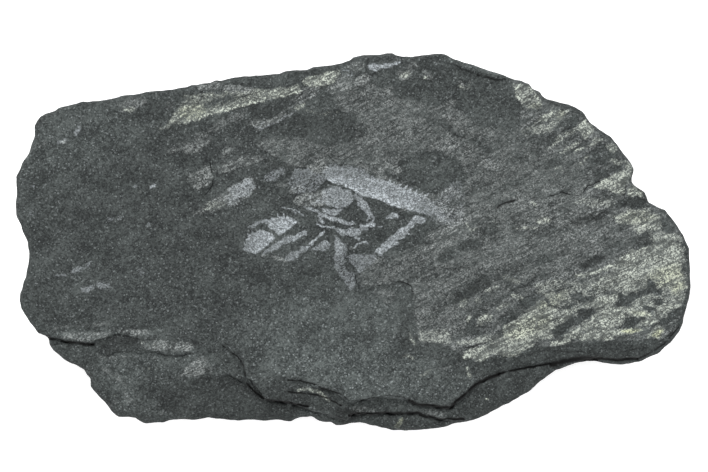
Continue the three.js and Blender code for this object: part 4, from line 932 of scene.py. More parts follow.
BACK_STIPES = [
    # The long straw-coloured stipe along the back edge, and the films next to it.
    patch("straw", 0.36, 0.2, [
        (-30, 17.7), (-29.2, 18.3), (-28.2, 19.6), (-27.6, 20.9), (-26.4, 22.2), (-24.6, 22.6),
        (-22, 22.8), (-19.8, 23.4), (-17.4, 23.4), (-15.3, 23.9), (-12.1, 23.9), (-10.4, 24.2),
        (-8.4, 24.4), (-8.1, 23.4), (-10.8, 22.8), (-13, 22.1), (-15.4, 21.6), (-19.7, 20.5),
        (-25.2, 18.8), (-28.1, 18.2)]),
    patch("straw", 0.66, 0.25, [
        (-27.4, 19.4), (-25, 19), (-23, 19.5), (-22.9, 20.6), (-24, 21.2), (-26, 21.5), (-27.3, 20.8)]),
    patch("straw", 0.95, 0.15, [
        (-8.2, 24.9), (-6.7, 25.7), (-5.4, 25.9), (-4, 26.4), (-2.2, 26.8), (-2.3, 25.9), (-3.2, 24.7),
        (-5.1, 24.1), (-6.7, 24.1), (-7.8, 24.4)]),
    *several(streak, "straw", [
        (1.7, 0.22, [(-26.4, 18.6), (-25.2, 18.8), (-23.4, 19.3), (-22, 19.8)], 0.1),
        (1.6, 0.22, [(-21.6, 19.95), (-17.6, 21.05), (-14.1, 21.9)], 0.1),
        (1.05, 0.22, [(-26.6, 22.3), (-25.2, 22.7), (-24, 22.9), (-22, 22.95)]),
        (0.7, 0.3, [(-30, 17.6), (-28.8, 17.9)]),
    ]),
    *several(leaf, "bare", [
        (0.6, -20.2, 21.9, 6.5, 1.1, 10, 0.4), (0.4, -16.8, 22.6, 2.6, 0.6, 12),
        (0.4, -5.6, 25.5, 2, 0.3, 20), (0.4, -4.6, 24.7, 1.6, 0.3, 30),
    ]),
    *several(leaf, "grey", [
        (0.5, -28.6, 21.2, 1.6, 1.1, 40), (1.1, -2, 23.6, 3, 2.6, 0, 0.5), (0.9, -7.4, 23, 5, 2, 28, 0.3),
        (0.7, -0.9, 21.8, 2.6, 2, 0, 0.4),
    ]),
    *several(patch, "grey", [
        (0.95, 0.2, [(-19.8, 24.4), (-18, 24.4), (-15.4, 24), (-15.6, 23.2), (-18.4, 23), (-20.6, 23.4)]),
        (0.4, 0.6, [(-23, 17.2), (-21, 17.3), (-17, 19.3), (-15.2, 20.8), (-17.4, 20.4), (-21, 18.8)]),
        (0.9, 0.15, [(-1, 27.2), (-0.2, 28), (1.2, 28.1), (1.7, 27.5), (1, 26.6), (0, 26.4)]),
    ]),
    leaf("ochre", 0.35, -25.1, 20.2, 4.6, 2.2, 8, 0.5),
    patch("straw", 0.75, 0.2, [(-15.6, 21.7), (-15, 22.7), (-13.9, 22.9), (-13.3, 22.4), (-14.4, 21.9)]),
    *several(leaf, "straw", [(0.7, -11.4, 23.4, 4.4, 0.7, 12), (0.9, -9.3, 24.1, 1.5, 0.5, 14)]),
    streak("straw", 1.5, 0.22, [(-12.6, 22.3), (-11, 22.8), (-8.3, 23.4)], 0.1),
    streak("silver", 0.5, 0.22, [(-1.9, 26.6), (-0.8, 26.6), (-0.1, 26.1), (-0.3, 25.7), (-1.2, 26)]),
    leaf("grey", 0.9, -22.3, 24.2, 4, 1.2, 8, 0.3),
    # The thinner one in front of it.
    patch("grey", 0.6, 0.2, [
        (-16.2, 17.9), (-15.2, 17.3), (-12, 18.6), (-10.5, 19.6), (-9.2, 20.3), (-8.6, 21.4),
        (-10.6, 20.8), (-13, 18.9), (-15.3, 19), (-16.1, 18.6)]),
    *several(streak, "silver", [
        (0.36, 0.2, [(-16.1, 18), (-15.4, 17.5), (-14.6, 17.8), (-14, 18.6)]),
        (0.42, 0.22, [(-14.6, 17.5), (-13.5, 17.9), (-12.1, 18.6), (-9.2, 20.3)]),
    ]),
    *several(streak, "grey", [
        (0.8, 0.25, [(-4, 24), (-3.7, 23.2)]), (0.8, 0.3, [(-18.4, 16.4), (-17, 17.1)]),
    ]),
    leaf("grey", 0.9, -15.4, 18.2, 1.1, 1, 0),
    leaf("straw", 0.65, -8.5, 21, 2.2, 0.6, 25),
    streak("straw", 0.32, 0.25, [(-7.3, 20.3), (-5.9, 20.2), (-4.6, 19.9), (-2.4, 20.2)]),
    # Films by the back edge, right of the middle.
    patch("silver", 0.85, 0.12, [
        (1.9, 27.4), (3.4, 26.6), (4, 26.9), (6, 27.2), (7.3, 27.7), (7.2, 27.95), (5.5, 27.7),
        (2.5, 27.6)]),
    *several(leaf, "grey", [
        (0.7, 8.1, 26.4, 3, 1.9, 50), (0.6, 9.6, 27.7, 1.4, 0.8, -50), (1, 1.5, 25.4, 2.2, 1.4, 20),
        (0.5, 11.5, 25.9, 1.8, 1.3, -40), (0.7, 5, 23.4, 2.4, 1.4, 20),
    ]),
    *several(leaf, "straw", [(0.6, 8, 26.1, 1.6, 1, 40), (0.8, 11.2, 25.4, 0.6, 0.4, 0)]),
    streak("grey", 0.8, 0.25, [(16.5, 24.9), (17.2, 24.1), (17.9, 24.1), (18.1, 24.9)]),
]

LEFT_FILMS = [
    # Behind the lone stipe.
    patch("grey", 0.75, 0.25, [
        (-24.1, 11.3), (-22.5, 12), (-22.1, 11.1), (-22, 9.9), (-22.3, 9.1), (-24.4, 8), (-25.2, 8.5),
        (-26, 9.2), (-25.7, 10.1)]),
    patch("grey", 0.7, 0.2, [
        (-21.9, 11.1), (-19.7, 12.6), (-18, 13.2), (-16.4, 13.5), (-14, 13.4), (-14.3, 12.7),
        (-17, 11.7), (-21.6, 10.3)]),
    patch("silver", 0.3, 0.2, [
        (-14.1, 9.4), (-13.9, 10.3), (-12.6, 10.9), (-11.2, 11.4), (-10.5, 11.1), (-10.8, 10.2),
        (-12, 9.6), (-13.3, 9.2)]),
    patch("silver", 0.3, 0.15, [
        (-9, 11.4), (-6.5, 11.3), (-4.8, 10.4), (-4.3, 9.5), (-6, 8), (-7, 7.5), (-8.5, 7.4), (-9.9, 8),
        (-10.1, 8.8), (-9.8, 9.8)]),
    *several(leaf, "grey", [
        (0.8, -9, 8.2, 2.4, 1.2, 10, 0.3), (0.7, -24.4, 15.2, 5, 2.4, 25, 0.6),
        (0.9, -25.4, 10.2, 0.9, 0.5, -40), (0.9, -24.2, 10.9, 0.7, 0.3, 0),
        (0.9, -16.6, 12.8, 4, 0.6, 12), (0.75, -19.7, 14.1, 2.8, 0.9, 45), (0.5, -11.2, 8.9, 2.6, 0.5, 3),
    ]),
    patch("grey", 0.55, 0.2, [
        (-29.2, 13.7), (-27, 15.2), (-26, 16), (-24.1, 17.1), (-23, 16.8), (-25.6, 15), (-28, 13.8)]),
    # The lone stipe left of the middle.
    patch("grey", 0.75, 0.15, [
        (-25.2, 4.2), (-24.4, 4.8), (-23.9, 5.4), (-22.7, 6), (-22, 6.5), (-19.9, 7.6), (-19.9, 8.2),
        (-19.1, 8.8), (-17.7, 9.3), (-16.7, 10), (-15.7, 10), (-15.3, 8.9), (-15.1, 8.1), (-16, 7.4),
        (-16.3, 6.8), (-17.5, 6.6), (-18.1, 5.7), (-21.2, 4.9), (-22, 4.5), (-23, 4.7), (-23.6, 4.1),
        (-24.2, 4.2)]),
    patch("silver", 0.42, 0.25, [
        (-19.8, 8.1), (-19, 8.7), (-17.7, 9.2), (-16.7, 9.9), (-15.8, 9.8), (-15.2, 8.4), (-16.5, 6.9),
        (-18, 7), (-19, 7.3)]),
    *several(leaf, "silver", [(0.6, -17, 9, 1.2, 0.6, 30), (0.6, -15.6, 8.5, 0.8, 0.5, 40)]),
    patch("straw", 0.35, 0.2, [
        (-23.9, 5.3), (-22, 6.2), (-20.2, 6.2), (-20, 5.5), (-22.2, 4.8), (-23.2, 4.9)]),
    patch("silver", 0.34, 0.25, [(-20, 7.2), (-18.2, 7), (-17.6, 6.6), (-18.2, 5.7), (-19.8, 5.4)]),
    streak("silver", 0.6, 0.3, [(-18.8, 7.1), (-17.6, 7.2), (-16.8, 7.6)]),
    streak("bare", 0.5, 0.25, [(-19.9, 7.4), (-19.8, 6.4), (-19.9, 5.7)]),
    # Specks and scraps on the bare shale.
    *several(leaf, "silver", [
        (0.55, -42.9, 17.3, 1.9, 0.6, 62), (0.65, -45.5, 15.6, 1.4, 0.45, 20),
        (0.5, -50, 8.7, 0.7, 0.3, -50), (0.25, -50, 4.5, 1.6, 0.9, 30), (0.31, -37.2, 3.5, 3.4, 0.7, 8),
        (0.53, -32, 2.6, 0.9, 0.6, 60), (0.95, -31.1, 8.6, 1.1, 0.5, 35),
        (0.46, -33.9, 8.6, 0.7, 0.4, 40), (0.53, -27, 1.2, 0.8, 0.4, 20),
        (0.36, -41.3, -3.6, 1.8, 0.8, 45), (0.43, -43, -4.3, 2.4, 0.7, 22),
        (0.37, -45.8, -5.3, 2.8, 0.4, 3), (0.5, -41.4, -7.3, 2.2, 0.8, 15),
        (0.37, -38.9, -6.9, 2.4, 1.2, -10), (0.25, -33.2, -4.7, 1.6, 0.9, -50),
        (0.5, -19.9, -4.2, 0.9, 0.3, 15),
    ]),
    *several(leaf, "grey", [
        (0.6, -34.4, 21.4, 4.4, 2, 8, 0.5), (0.8, -36.2, 20.4, 0.9, 0.5, 10),
        (0.3, -48.3, 15, 1.6, 0.9, 30), (0.6, -49, 6.9, 0.7, 0.4, 0), (0.6, -36.9, 3.3, 1.8, 0.3, 10),
        (0.5, -33.3, 7.6, 0.7, 0.6, 0), (0.6, -15.2, -4.6, 0.5, 0.4, 0), (0.6, -37, -25.2, 0.8, 0.5, 40),
        (0.6, -30.2, -26.9, 0.8, 0.4, 20),
    ]),
    *several(leaf, "straw", [
        (0.7, -35.1, 20.6, 1.9, 0.7, -5), (0.6, -45.2, 15.6, 0.8, 0.3, 20),
        (0.8, -32.8, -20.1, 0.4, 0.3, 0), (0.8, -31.7, -19.8, 0.3, 0.3, 0),
    ]),
    # Scraps on the left front terrace.
    patch("grey", 1.05, 0.15, [
        (-46.4, -14.3), (-42, -13.9), (-40, -14), (-38.2, -14.3), (-36.5, -13.9), (-34, -13.8),
        (-31, -14.2), (-33, -14.7), (-34.8, -14.6), (-37, -14.1), (-40.4, -15.6), (-43, -15.4),
        (-45.5, -14.9)]),
    patch("grey", 1.25, 0.15, [
        (-33.2, -15.6), (-31, -15.3), (-25.5, -15.7), (-24.7, -16.6), (-26, -17.1), (-29, -16.9),
        (-31, -16.9), (-33, -16.8)]),
    patch("grey", 1.05, 0.2, [
        (-27.8, -21.6), (-26, -20), (-24.2, -18), (-23, -18.2), (-23.3, -20.6), (-25.6, -21)]),
    *several(leaf, "grey", [
        (0.6, -22.6, -19.4, 2.6, 0.7, -70), (0.4, -36.5, -21.6, 5, 0.8, -40),
        (0.4, -38, -20.6, 3.4, 0.6, -35), (0.4, -35, -24.6, 3.4, 0.8, -50),
        (0.4, -37.4, -25.4, 3, 0.6, 30),
    ]),
    *several(streak, "grey", [
        (0.5, 0.25, [(-39, -18.2), (-36, -18), (-32, -18), (-28, -18.4)]),
        (0.45, 0.4, [(-46.9, -13.9), (-45, -13.3), (-42, -13), (-38, -12.9)]),
        (0.6, 0.3, [(-39.5, -17.9), (-38, -18.1), (-36.5, -17.9)]),
    ]),
    streak("straw", 0.6, 0.3, [(-33, -15.7), (-31.8, -16.1), (-30.8, -16.2)]),
    leaf("straw", 0.6, -37.5, -24, 0.7, 0.4, 30),
    # Scraps on the front edge.
    *several(leaf, "grey", [(0.5, 12.8, -26.9, 4, 1.2, -15), (0.5, 1.5, -26.3, 3.6, 1, -5, 0.3)]),
    streak("grey", 0.6, 0.25, [(-11, -23.1), (-9.6, -22.9)]),
    streak("straw", 0.8, 0.45, [(-8.7, -23.3), (-7.4, -22.9), (-6, -23.2), (-3.8, -24.7)]),
    leaf("ochre", 0.8, 7.3, -28.4, 2, 1, 50),
    leaf("straw", 0.6, 7.2, -28.4, 2, 0.8, 50),
]

MIDDLE_STIPES = [
    # The long silver stipe: its crisp front edge with a painted highlight along its lip, and the cups on
    # the other side.
    patch("silver", 0.46, 0.7, [
        (-4.4, 10), (-2, 9), (0, 8.6), (2, 8), (4.8, 8), (4.4, 9.9), (3.3, 10.1), (2.1, 10.5),
        (1.9, 11.2), (1, 11.5), (-2, 11.7), (-3.6, 12), (-5, 11.2)]),
    patch("silver", 0.72, 0.14, [
        (-4, 9.7), (-3.2, 9.1), (-2, 8.8), (-1, 8.4), (0.7, 7.5), (1.7, 7.1), (4, 6.4), (5.3, 6.1),
        (6.5, 5.5), (7.6, 5.1), (8.7, 4.9), (9.4, 5), (9.8, 5.5), (11, 6.6), (11.2, 7), (7.2, 8.6),
        (5.2, 9.2), (4.4, 9.6), (3, 9.9), (-0.4, 10), (-2.4, 10.2)]),
    *comb("silver", 0.9, [(5.1, 9), (6.4, 8.7), (7.5, 8.3), (8.5, 7.9), (9.4, 7.6), (11.2, 7)],
          0.98, 1.05, 0.5, 40),
    *comb("bare", 0.4, [(4.4, 8.1), (6.8, 7.6), (9.4, 6.5), (10.6, 5.8)], 0.98, 1.3, 0.2, 50),
    patch("silver", 0.44, 0.4, [
        (8.8, 4.9), (10.4, 4.3), (13.3, 3.9), (14.4, 3.3), (14, 4.8), (13, 5.4), (12.4, 6.4), (11, 7)]),
    *several(streak, "silver", [
        (0.62, 0.22, [(9.4, 4.8), (12.6, 4.1), (13.4, 3.8), (14.4, 3.2)]),
        (0.9, 0.25, [(2.8, 10), (2.7, 8.8)]),
    ]),
    *several(leaf, "silver", [(1, 8.75, 8.15, 0.7, 0.3, 45), (1, 5.6, 9.3, 0.8, 0.3, 45)]),
    patch("silver", 1.1, 0.18, [
        (1.9, 7.1), (2.6, 7.6), (4, 7.7), (6.1, 6.8), (6.2, 6.3), (5.2, 6.2), (2.6, 6.85)]),
    *several(streak, "silver", [
        (1.05, 0.5, [(6.2, 6.3), (7.8, 5.7), (8.6, 5.3)]), (0.9, 0.3, [(8.4, 5.2), (9.6, 4.9)]),
        # The bright line along the front edge is a painted highlight on the stipe's lip.
        (1.2, 0.22, [(-4.4, 10.1), (-1.7, 8.95), (0.8, 7.75), (7.1, 5.6)]),
        (1, 0.3, [(-4, 9.65), (-3.4, 9.35), (-2.9, 9.2)]),
    ]),
    *several(leaf, "silver", [
        (1, -1.5, 8.9, 0.8, 0.4, -20), (1, 0.9, 8.3, 1.4, 0.5, -35), (1, 2.1, 7.85, 0.6, 0.4, 0),
        (0.95, 9.2, 5.9, 0.5, 0.4, 0),
    ]),
    # The film between it and the strands, and the strands.
    patch("grey", 0.9, 0.2, [
        (-9.4, 6.2), (-8.9, 7), (-7.6, 7.4), (-4.4, 8), (-4, 6.6), (-4.2, 5.5), (-6.5, 5.4), (-8.4, 5.5)]),
    patch("silver", 0.56, 0.2, [
        (-5, 7.7), (-3.4, 8.6), (-2.2, 8.6), (-1.9, 8.2), (-1, 8.1), (-0.2, 7.7), (-0.1, 7), (-0.2, 6.2),
        (-0.8, 5.5), (-2, 5.3), (-4, 5.5), (-4.8, 6.4)]),
    patch("silver", 0.72, 0.15, [
        (-5.1, 5.1), (-3, 5.1), (-1.6, 5.2), (-2.2, 4.5), (-2.9, 4.1), (-4, 4.4), (-4.8, 4.7)]),
    patch("silver", 0.7, 0.14, [
        (1, 6.7), (1.7, 6.2), (2.3, 5.9), (2.4, 5.2), (2.9, 4.6), (3, 4.2), (2.3, 4.2), (1.8, 4.7),
        (1.1, 5.2), (0.9, 6)]),
    *several(leaf, "silver", [
        (0.3, -6.6, 5.9, 2.4, 0.5, 2), (0.36, -6.6, 6.9, 1.6, 0.5, 20), (0.85, -2.9, 8.35, 0.9, 0.4, 10),
        (0.5, 0.7, 6.8, 1.6, 1.1, -40), (1, 0.7, 5.9, 0.4, 0.3, 0), (1, 2.6, 4.3, 0.7, 0.3, 10),
    ]),
    *several(streak, "silver", [
        (0.6, 0.35, [(-7.6, 5.3), (-6.6, 5.1), (-5.8, 4.8), (-5.4, 4.3), (-4.9, 3.9)]),
        (0.8, 0.6, [(-5.1, 4.2), (-0.1, 2.7)]), (0.7, 0.45, [(-5.5, 3.8), (-5.2, 3.3), (-4.8, 3)]),
        (0.75, 0.45, [(2.9, 4.3), (3.2, 3.7), (2.8, 2.6)]),
    ]),
    *several(leaf, "bare", [
        (0.6, -6.1, 6.4, 1.2, 0.3, 10), (0.6, -7.7, 6.4, 1, 0.4, 60), (0.5, -2.4, 7, 1.4, 0.25, -60),
    ]),
    *several(leaf, "silver", [
        (0.6, -4.9, 6.3, 2, 0.8, 5), (1, -4.7, 2.95, 0.4, 0.35, 0), (0.5, 2.3, 3.5, 1.4, 0.4, 70),
    ]),
    *several(leaf, "bare", [(0.5, -5.4, 7.2, 1.8, 0.25, -25), (0.5, -3.6, 6.6, 1.6, 0.25, -50)]),
    streak("silver", 1, 0.25, [(-5.6, 2.6), (-4.8, 2.35), (-3, 2.15)]),
    patch("silver", 0.56, 0.15, [
        (-2.9, 2), (-1.8, 1.9), (-0.6, 2.05), (2.2, 2.2), (1.4, 1.6), (0.9, 1.1), (0.4, 0.9),
        (-0.8, 0.85), (-1.8, 0.95), (-2.4, 1.4)]),
    *several(streak, "silver", [
        (0.75, 0.4, [(-2.4, 1.75), (-1.2, 1.6), (2.1, 1.95)]),
        (1.05, 0.38, [(1.3, 2.45), (2.2, 2.55), (3.3, 2.5)]), (0.7, 0.2, [(3.7, 2.25), (4.4, 2.35)]),
    ]),
    *several(leaf, "silver", [(0.9, 0.3, 0.7, 0.6, 0.4, 30), (0.9, 0.85, 0.6, 0.5, 0.45, 0)]),
    streak("silver", 0.85, 0.28, [(-0.1, -0.9), (0.9, -0.2), (1.4, -0.1), (2.2, -0.4)]),
    leaf("grey", 0.7, -0.2, -1, 1.4, 0.4, 0),
    patch("silver", 0.56, 0.14, [(5.1, 3.4), (5.2, 4), (6.1, 4.5), (6.9, 4.3), (7, 3.8), (6.2, 3.5)]),
    leaf("silver", 1, 6.6, 4.1, 0.5, 0.45, 0),
    streak("grey", 0.7, 0.25, [(6.9, 4.4), (7.4, 4.7), (8, 4.9)]),
    # The stipe that runs down to the left from its end.
    patch("silver", 0.66, 0.14, [
        (9.2, 3.85), (9.9, 3.95), (11.3, 3.5), (11, 3), (10.3, 2.7), (9.6, 2.7), (9.4, 2.3), (8.9, 2),
        (8.5, 1.6), (8.8, 1.05), (8.1, 1), (7.9, 0.45), (7.4, 0.2), (6.9, 0.1), (7.1, -0.4), (6.4, -0.5),
        (5.9, -0.8), (4.8, -1.7), (4.6, -2.2), (4.1, -2.2), (3.6, -1.9), (3, -1.9), (3.4, -1.35),
        (7.2, 1.95), (8.1, 2.4), (8.4, 2.9)]),
    patch("silver", 0.36, 0.25, [
        (-1.3, -2.3), (0, -2), (2.6, -1.9), (3.4, -2.2), (3.8, -2.6), (3.2, -3.2), (2, -4), (1.2, -4.7),
        (0.5, -4.9), (0.2, -4)]),
    *several(leaf, "silver", [
        (1.05, 7.5, 1.6, 1.4, 0.7, 50), (0.95, 9.5, 3.6, 0.9, 0.5, 20), (0.95, 4.3, -1.5, 0.9, 0.5, 50),
    ]),
    *several(streak, "silver", [
        (1, 0.25, [(7.9, 1.1), (8.8, 1.1)]), (0.95, 0.2, [(6.1, -0.45), (6.8, -0.4)]),
    ]),
    # The stipe that runs straight to the front.
    patch("silver", 0.34, 0.2, [
        (-2.6, 0.9), (-3, -0.8), (-3.1, -4.2), (-2.2, -5), (-0.7, -7.7), (0.1, -7.3), (0.5, -6.2),
        (0.2, -4.9), (-1.1, -4.6), (-1.3, -3.7), (-1.1, -2.5), (-1, -0.8), (-1.4, 0)]),
    patch("silver", 0.6, 0.3, [
        (-2.5, 0.9), (-2.9, -0.8), (-2.8, -2.2), (-1.9, -2.4), (-1.4, -1), (-1.5, -0.2)]),
    leaf("bare", 0.4, -1.6, -3.4, 3, 0.5, 80),
    leaf("silver", 1, -2.5, -1.15, 0.6, 0.35, -30),
    # The group on the left: two wide stipes with cups, and narrow ones in front.
    patch("silver", 0.78, 0.14, [
        (-17.3, -1.2), (-16.8, -0.5), (-16.6, 0.5), (-16.3, 1.1), (-15.5, 1.4), (-14.9, 1.2),
        (-14.5, 1.7), (-13.9, 1.8), (-12.5, 1), (-12.1, 0.4), (-12.8, 0), (-13.4, -0.5), (-14.9, -1.4),
        (-15.4, -2), (-16, -1.6)]),
    patch("silver", 0.82, 0.14, [
        (-13.6, 2.9), (-13.1, 2), (-12.3, 1.6), (-11.6, 1), (-10.5, 1.6), (-9.5, 2.4), (-8.9, 3),
        (-9.1, 3.4), (-9.6, 3.7), (-10.4, 3.7), (-11.1, 4), (-11.9, 3.7), (-12.5, 3.6), (-13, 3.1)]),
    *several(tooth, "silver", [
        (0.75, -11.8, 3.6, 0.8, 0.4, 95), (0.85, -10.8, 3.8, 1.1, 0.35, 88),
        (0.85, -10.3, 3.6, 0.6, 0.4, 80), (0.5, -12.5, 3.4, 0.6, 0.35, 120),
    ]),
    *several(streak, "silver", [
        (1.1, 0.25, [(-11.4, 1.1), (-10.5, 1.7), (-8.95, 3.05)]),
        (0.8, 0.2, [(-11.2, 5.2), (-10.1, 5.15), (-9.5, 4.95), (-8.8, 4.2)]),
        (0.65, 0.2, [(-9.5, 5), (-8.7, 4.75), (-7.75, 4.2)]),
        (0.95, 0.4, [(-6.8, -0.25), (-6.1, 0.15), (-4.7, 1.35)]),
    ]),
    *several(leaf, "silver", [
        (1.1, -12.9, 0.6, 1.2, 0.6, -30), (1, -4.75, 1.3, 0.5, 0.4, 40), (1, -6.4, -0.2, 0.8, 0.5, 30),
    ]),
    patch("silver", 0.38, 0.2, [
        (-11, -2.7), (-9.6, -1.7), (-8.7, -1.4), (-8.1, -0.9), (-7.3, -0.7), (-6.7, -0.8), (-7.1, -1.3),
        (-9.3, -2.9), (-10.2, -3)]),
    *several(leaf, "bare", [(0.35, -16.2, -0.4, 2.6, 1.6, 60, 0.6), (0.4, -14.9, 0.1, 2.4, 0.25, 35)]),
    *comb("silver", 0.6, [(-16.9, -0.6), (-16.4, 0.6), (-15.4, 1.2), (-14.2, 1.5)], 0.7, 0.65, 0.45, 112),
    patch("silver", 0.38, 0.25, [
        (-16.6, 1.8), (-15.9, 2.6), (-15.5, 3.3), (-13.1, 3.15), (-13.5, 2.6), (-14.5, 2.7),
        (-15.3, 2.2)]),
    *several(streak, "silver", [
        (0.95, 0.3, [(-15.4, -1.8), (-14.6, -1.2), (-13.4, -0.4)]),
        (0.8, 0.2, [(-14.2, 3.15), (-13.1, 3.2)]),
        (0.75, 0.25, [(-8, -0.9), (-7.3, -0.85), (-6.7, -0.95)]),
    ]),
    patch("silver", 0.46, 0.15, [
        (-14.5, -2), (-12.9, -0.6), (-9.5, 1), (-8.6, 1.2), (-7.8, 1.6), (-7.1, 1.6), (-7.3, 0.9),
        (-9.3, 0.2), (-9.8, -0.2), (-11, -0.5), (-12, -1.2), (-13, -1.6), (-13.9, -2.1)]),
    patch("silver", 0.42, 0.18, [
        (-7, -1), (-6, -0.8), (-4.4, 0.3), (-3.7, 0), (-3.3, -0.7), (-3.9, -1.2), (-4.7, -1.6),
        (-6, -1.5)]),
    *several(leaf, "silver", [
        (0.85, -8.7, 0.85, 2.9, 0.6, 28), (0.6, -11, 0, 2.4, 0.5, 30), (0.7, -4.4, -0.3, 1.2, 0.6, 30),
    ]),
    tooth("silver", 0.8, -14.4, 1.5, 0.5, 0.4, 100),
    streak("grey", 0.9, 0.5, [(-14.3, -2.2), (-11.6, -2.6), (-10.4, -2.9)]),
]

FOSSILS = BROAD_FILM + STRAW_FILM + BACK_STIPES + LEFT_FILMS + MIDDLE_STIPES
